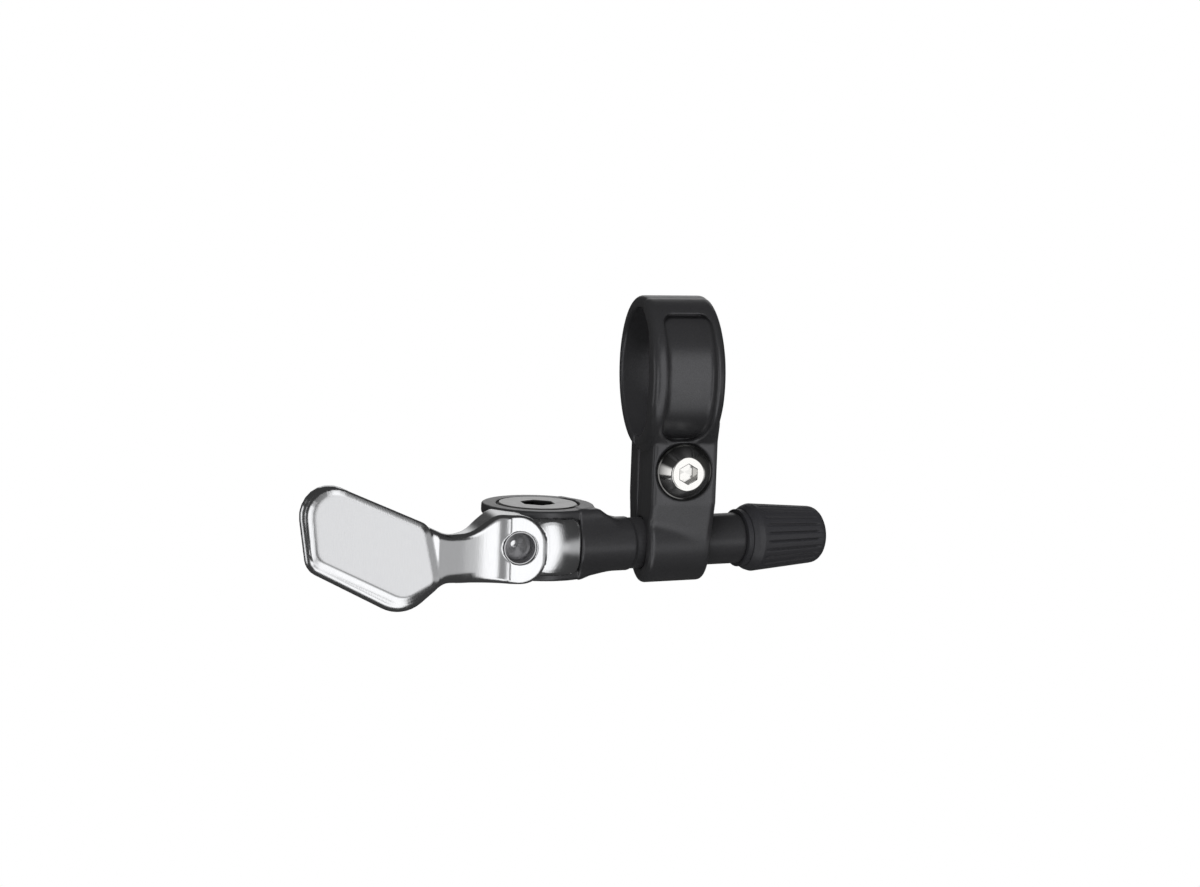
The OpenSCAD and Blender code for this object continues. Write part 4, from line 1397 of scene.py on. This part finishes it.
@dataclass(frozen=True)
class SoftBox:
    """A patch of light in the surroundings, in degrees: bearing from the front, height, half sizes."""

    name: str
    bearing: float
    half_width: float
    height: float
    half_height: float
    level: float
    soft: float = 7.0

    def fade(self, tree: Tree, angle: Socket, half: float) -> Socket:
        """Falls from one inside an angle to none outside it.

        Args:
            tree: the node tree.
            angle: the angle's output, in radians.
            half: the angle at half strength, in degrees.

        Returns:
            The strength's output.
        """
        ends = (math.radians(half - self.soft), math.radians(half + self.soft))
        return ranged(tree, arithmetic(tree, "ABSOLUTE", angle), ends, (1, 0), "SMOOTHSTEP")

    def glow(self, tree: Tree, direction: Socket) -> Socket:
        """The box's light in a direction.

        The direction is turned about the vertical until the box lies straight ahead. Its
        bearing there and its height above the box's middle each fade out past the box's
        edges, and the light is the product of both fades and the box's level.

        Args:
            tree: the node tree.
            direction: the direction's output.

        Returns:
            The light's output.
        """
        facing = tree.nodes.new("ShaderNodeVectorRotate")
        facing.label = self.name
        facing.rotation_type = "Z_AXIS"
        facing.inputs["Angle"].default_value = -math.radians(self.bearing)
        tree.links.new(direction, facing.inputs["Vector"])
        parts = tree.nodes.new("ShaderNodeSeparateXYZ")
        tree.links.new(facing.outputs["Vector"], parts.inputs["Vector"])
        ahead = arithmetic(tree, "MULTIPLY", parts.outputs["Y"], -1.0)
        bearing = arithmetic(tree, "ARCTAN2", parts.outputs["X"], ahead)
        height = arithmetic(tree, "ARCSINE", parts.outputs["Z"])
        height = arithmetic(tree, "SUBTRACT", height, math.radians(self.height))
        wide = self.fade(tree, bearing, self.half_width)
        tall = self.fade(tree, height, self.half_height)
        return arithmetic(tree, "MULTIPLY", arithmetic(tree, "MULTIPLY", wide, tall), self.level)


@dataclass(frozen=True)
class Lamp:
    """A round lamp that points at the part, in metres and watts."""

    name: str
    place: Point
    size: float
    power: float

    def add(self) -> None:
        """Adds the lamp to the scene, unseen in reflections."""
        data = bpy.data.lights.new(self.name, "AREA")
        data.shape, data.size, data.energy = "DISK", self.size, self.power
        lamp = bpy.data.objects.new(self.name, data)
        lamp.location = self.place
        lamp.rotation_euler = (-Vector(self.place)).to_track_quat("-Z", "Y").to_euler()
        lamp.visible_glossy = False
        bpy.context.scene.collection.objects.link(lamp)


@dataclass
class Studio:
    """Camera, surroundings, lamps and floor."""

    azimuth: float = 15.0
    elevation: float = 8.0
    roll: float = 2.1
    distance: float = 810.0
    lens: float = 141.4
    sensor: float = 36.0
    clip: Pair = (0.01, 20.0)
    aim: Pair = (12.629, 12.251)
    ambient: float = 0.045
    boxes: tuple[SoftBox, ...] = (
        SoftBox("front", 15, 15, -10, 52, 1.28), SoftBox("left", -38, 12, -12, 26, 1.28),
        SoftBox("low", -5, 35, -50, 13, 1.28), SoftBox("near_right", 38, 11, -8, 10, 0.62),
        SoftBox("right", 68, 24, -8, 12, 0.46), SoftBox("between", -12, 14, -8, 45, 0.25),
        SoftBox("side", -97, 9, -7, 22, 1.2), SoftBox("back", 162, 16, 15, 13, 0.75))
    lamps: tuple[Lamp, ...] = (
        Lamp("key", (-0.25, -0.45, 0.6), 0.35, 4.0), Lamp("fill", (0.7, -0.35, 0.15), 0.3, 0.5))
    floor_z: float = -0.25
    floor_half: float = 3.0
    floor_color: tuple[float, float, float, float] = (0.8, 0.8, 0.8, 1.0)

    def camera(self) -> None:
        """Makes the camera at the photograph's viewing angle."""
        psi, eps, tilt = (math.radians(v) for v in (self.azimuth, self.elevation, self.roll))
        level = np.array((math.cos(psi), -math.sin(psi), 0))
        ahead = np.array((math.sin(psi) * math.cos(eps), math.cos(psi) * math.cos(eps), -math.sin(eps)))
        upright = np.cross(level, ahead)
        right = math.cos(tilt) * level + math.sin(tilt) * upright
        up = math.cos(tilt) * upright - math.sin(tilt) * level
        place = (-right * self.aim[0] - up * self.aim[1] - ahead * self.distance) * MM
        data = bpy.data.cameras.new("camera")
        data.lens, data.sensor_width = self.lens, self.sensor
        data.clip_start, data.clip_end = self.clip
        camera = bpy.data.objects.new("camera", data)
        turn = Matrix((Vector(right), Vector(up), Vector(-ahead))).transposed().to_4x4()
        camera.matrix_world = Matrix.Translation(Vector(place)) @ turn
        bpy.context.scene.collection.objects.link(camera)
        bpy.context.scene.camera = camera

    def world(self) -> None:
        """Makes the surroundings: white to the camera, dim with soft boxes to everything else."""
        world = bpy.data.worlds.new("studio")
        bpy.context.scene.world = world
        world.use_nodes = True
        tree = world.node_tree
        direction = tree.nodes.new("ShaderNodeTexCoord").outputs["Generated"]
        level = self.ambient
        for box in self.boxes:
            level = arithmetic(tree, "MAXIMUM", box.glow(tree, direction), level)
        seen = tree.nodes.new("ShaderNodeLightPath").outputs["Is Camera Ray"]
        white = mixed(tree, Mix.NUMBER, seen, level, 1.0)
        tree.links.new(white, tree.nodes["Background"].inputs["Color"])

    def floor(self) -> None:
        """Makes a plain pale floor that the camera sees as white."""
        ways = np.array(((-1, -1), (1, -1), (1, 1), (-1, 1)))
        corners = np.column_stack((ways * self.floor_half, np.full(4, self.floor_z))) / MM
        piece = add_mesh("floor", corners, np.array([(0, 1, 2, 3)]))
        made = bpy.data.materials.new("floor")
        made.use_nodes = True
        tree = made.node_tree
        shader = tree.nodes["Principled BSDF"]
        shader.inputs["Base Color"].default_value = self.floor_color
        mix = tree.nodes.new("ShaderNodeMixShader")
        for index, output in enumerate((
                tree.nodes.new("ShaderNodeLightPath").outputs["Is Camera Ray"], shader.outputs["BSDF"],
                tree.nodes.new("ShaderNodeEmission").outputs["Emission"])):
            tree.links.new(output, mix.inputs[index])
        tree.links.new(mix.outputs["Shader"], tree.nodes["Material Output"].inputs["Surface"])
        piece.visible_glossy = False
        piece.visible_shadow = False
        piece.data.materials.append(made)

    def build(self) -> None:
        """Makes the whole studio."""
        bpy.context.scene.view_settings.view_transform = "Standard"
        self.camera()
        self.world()
        for lamp in self.lamps:
            lamp.add()
        self.floor()


def main() -> None:
    """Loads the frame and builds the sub-assemblies in order."""
    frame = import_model()
    Studio().build()
    dress_nodes(frame)
    for assembly in (Clamp(), Perch(), Adjuster(), Lever()):
        for piece in assembly.build():
            LOG.info("built %s", piece.name)


if __name__ == "__main__":
    logging.basicConfig(level=logging.INFO)
    main()
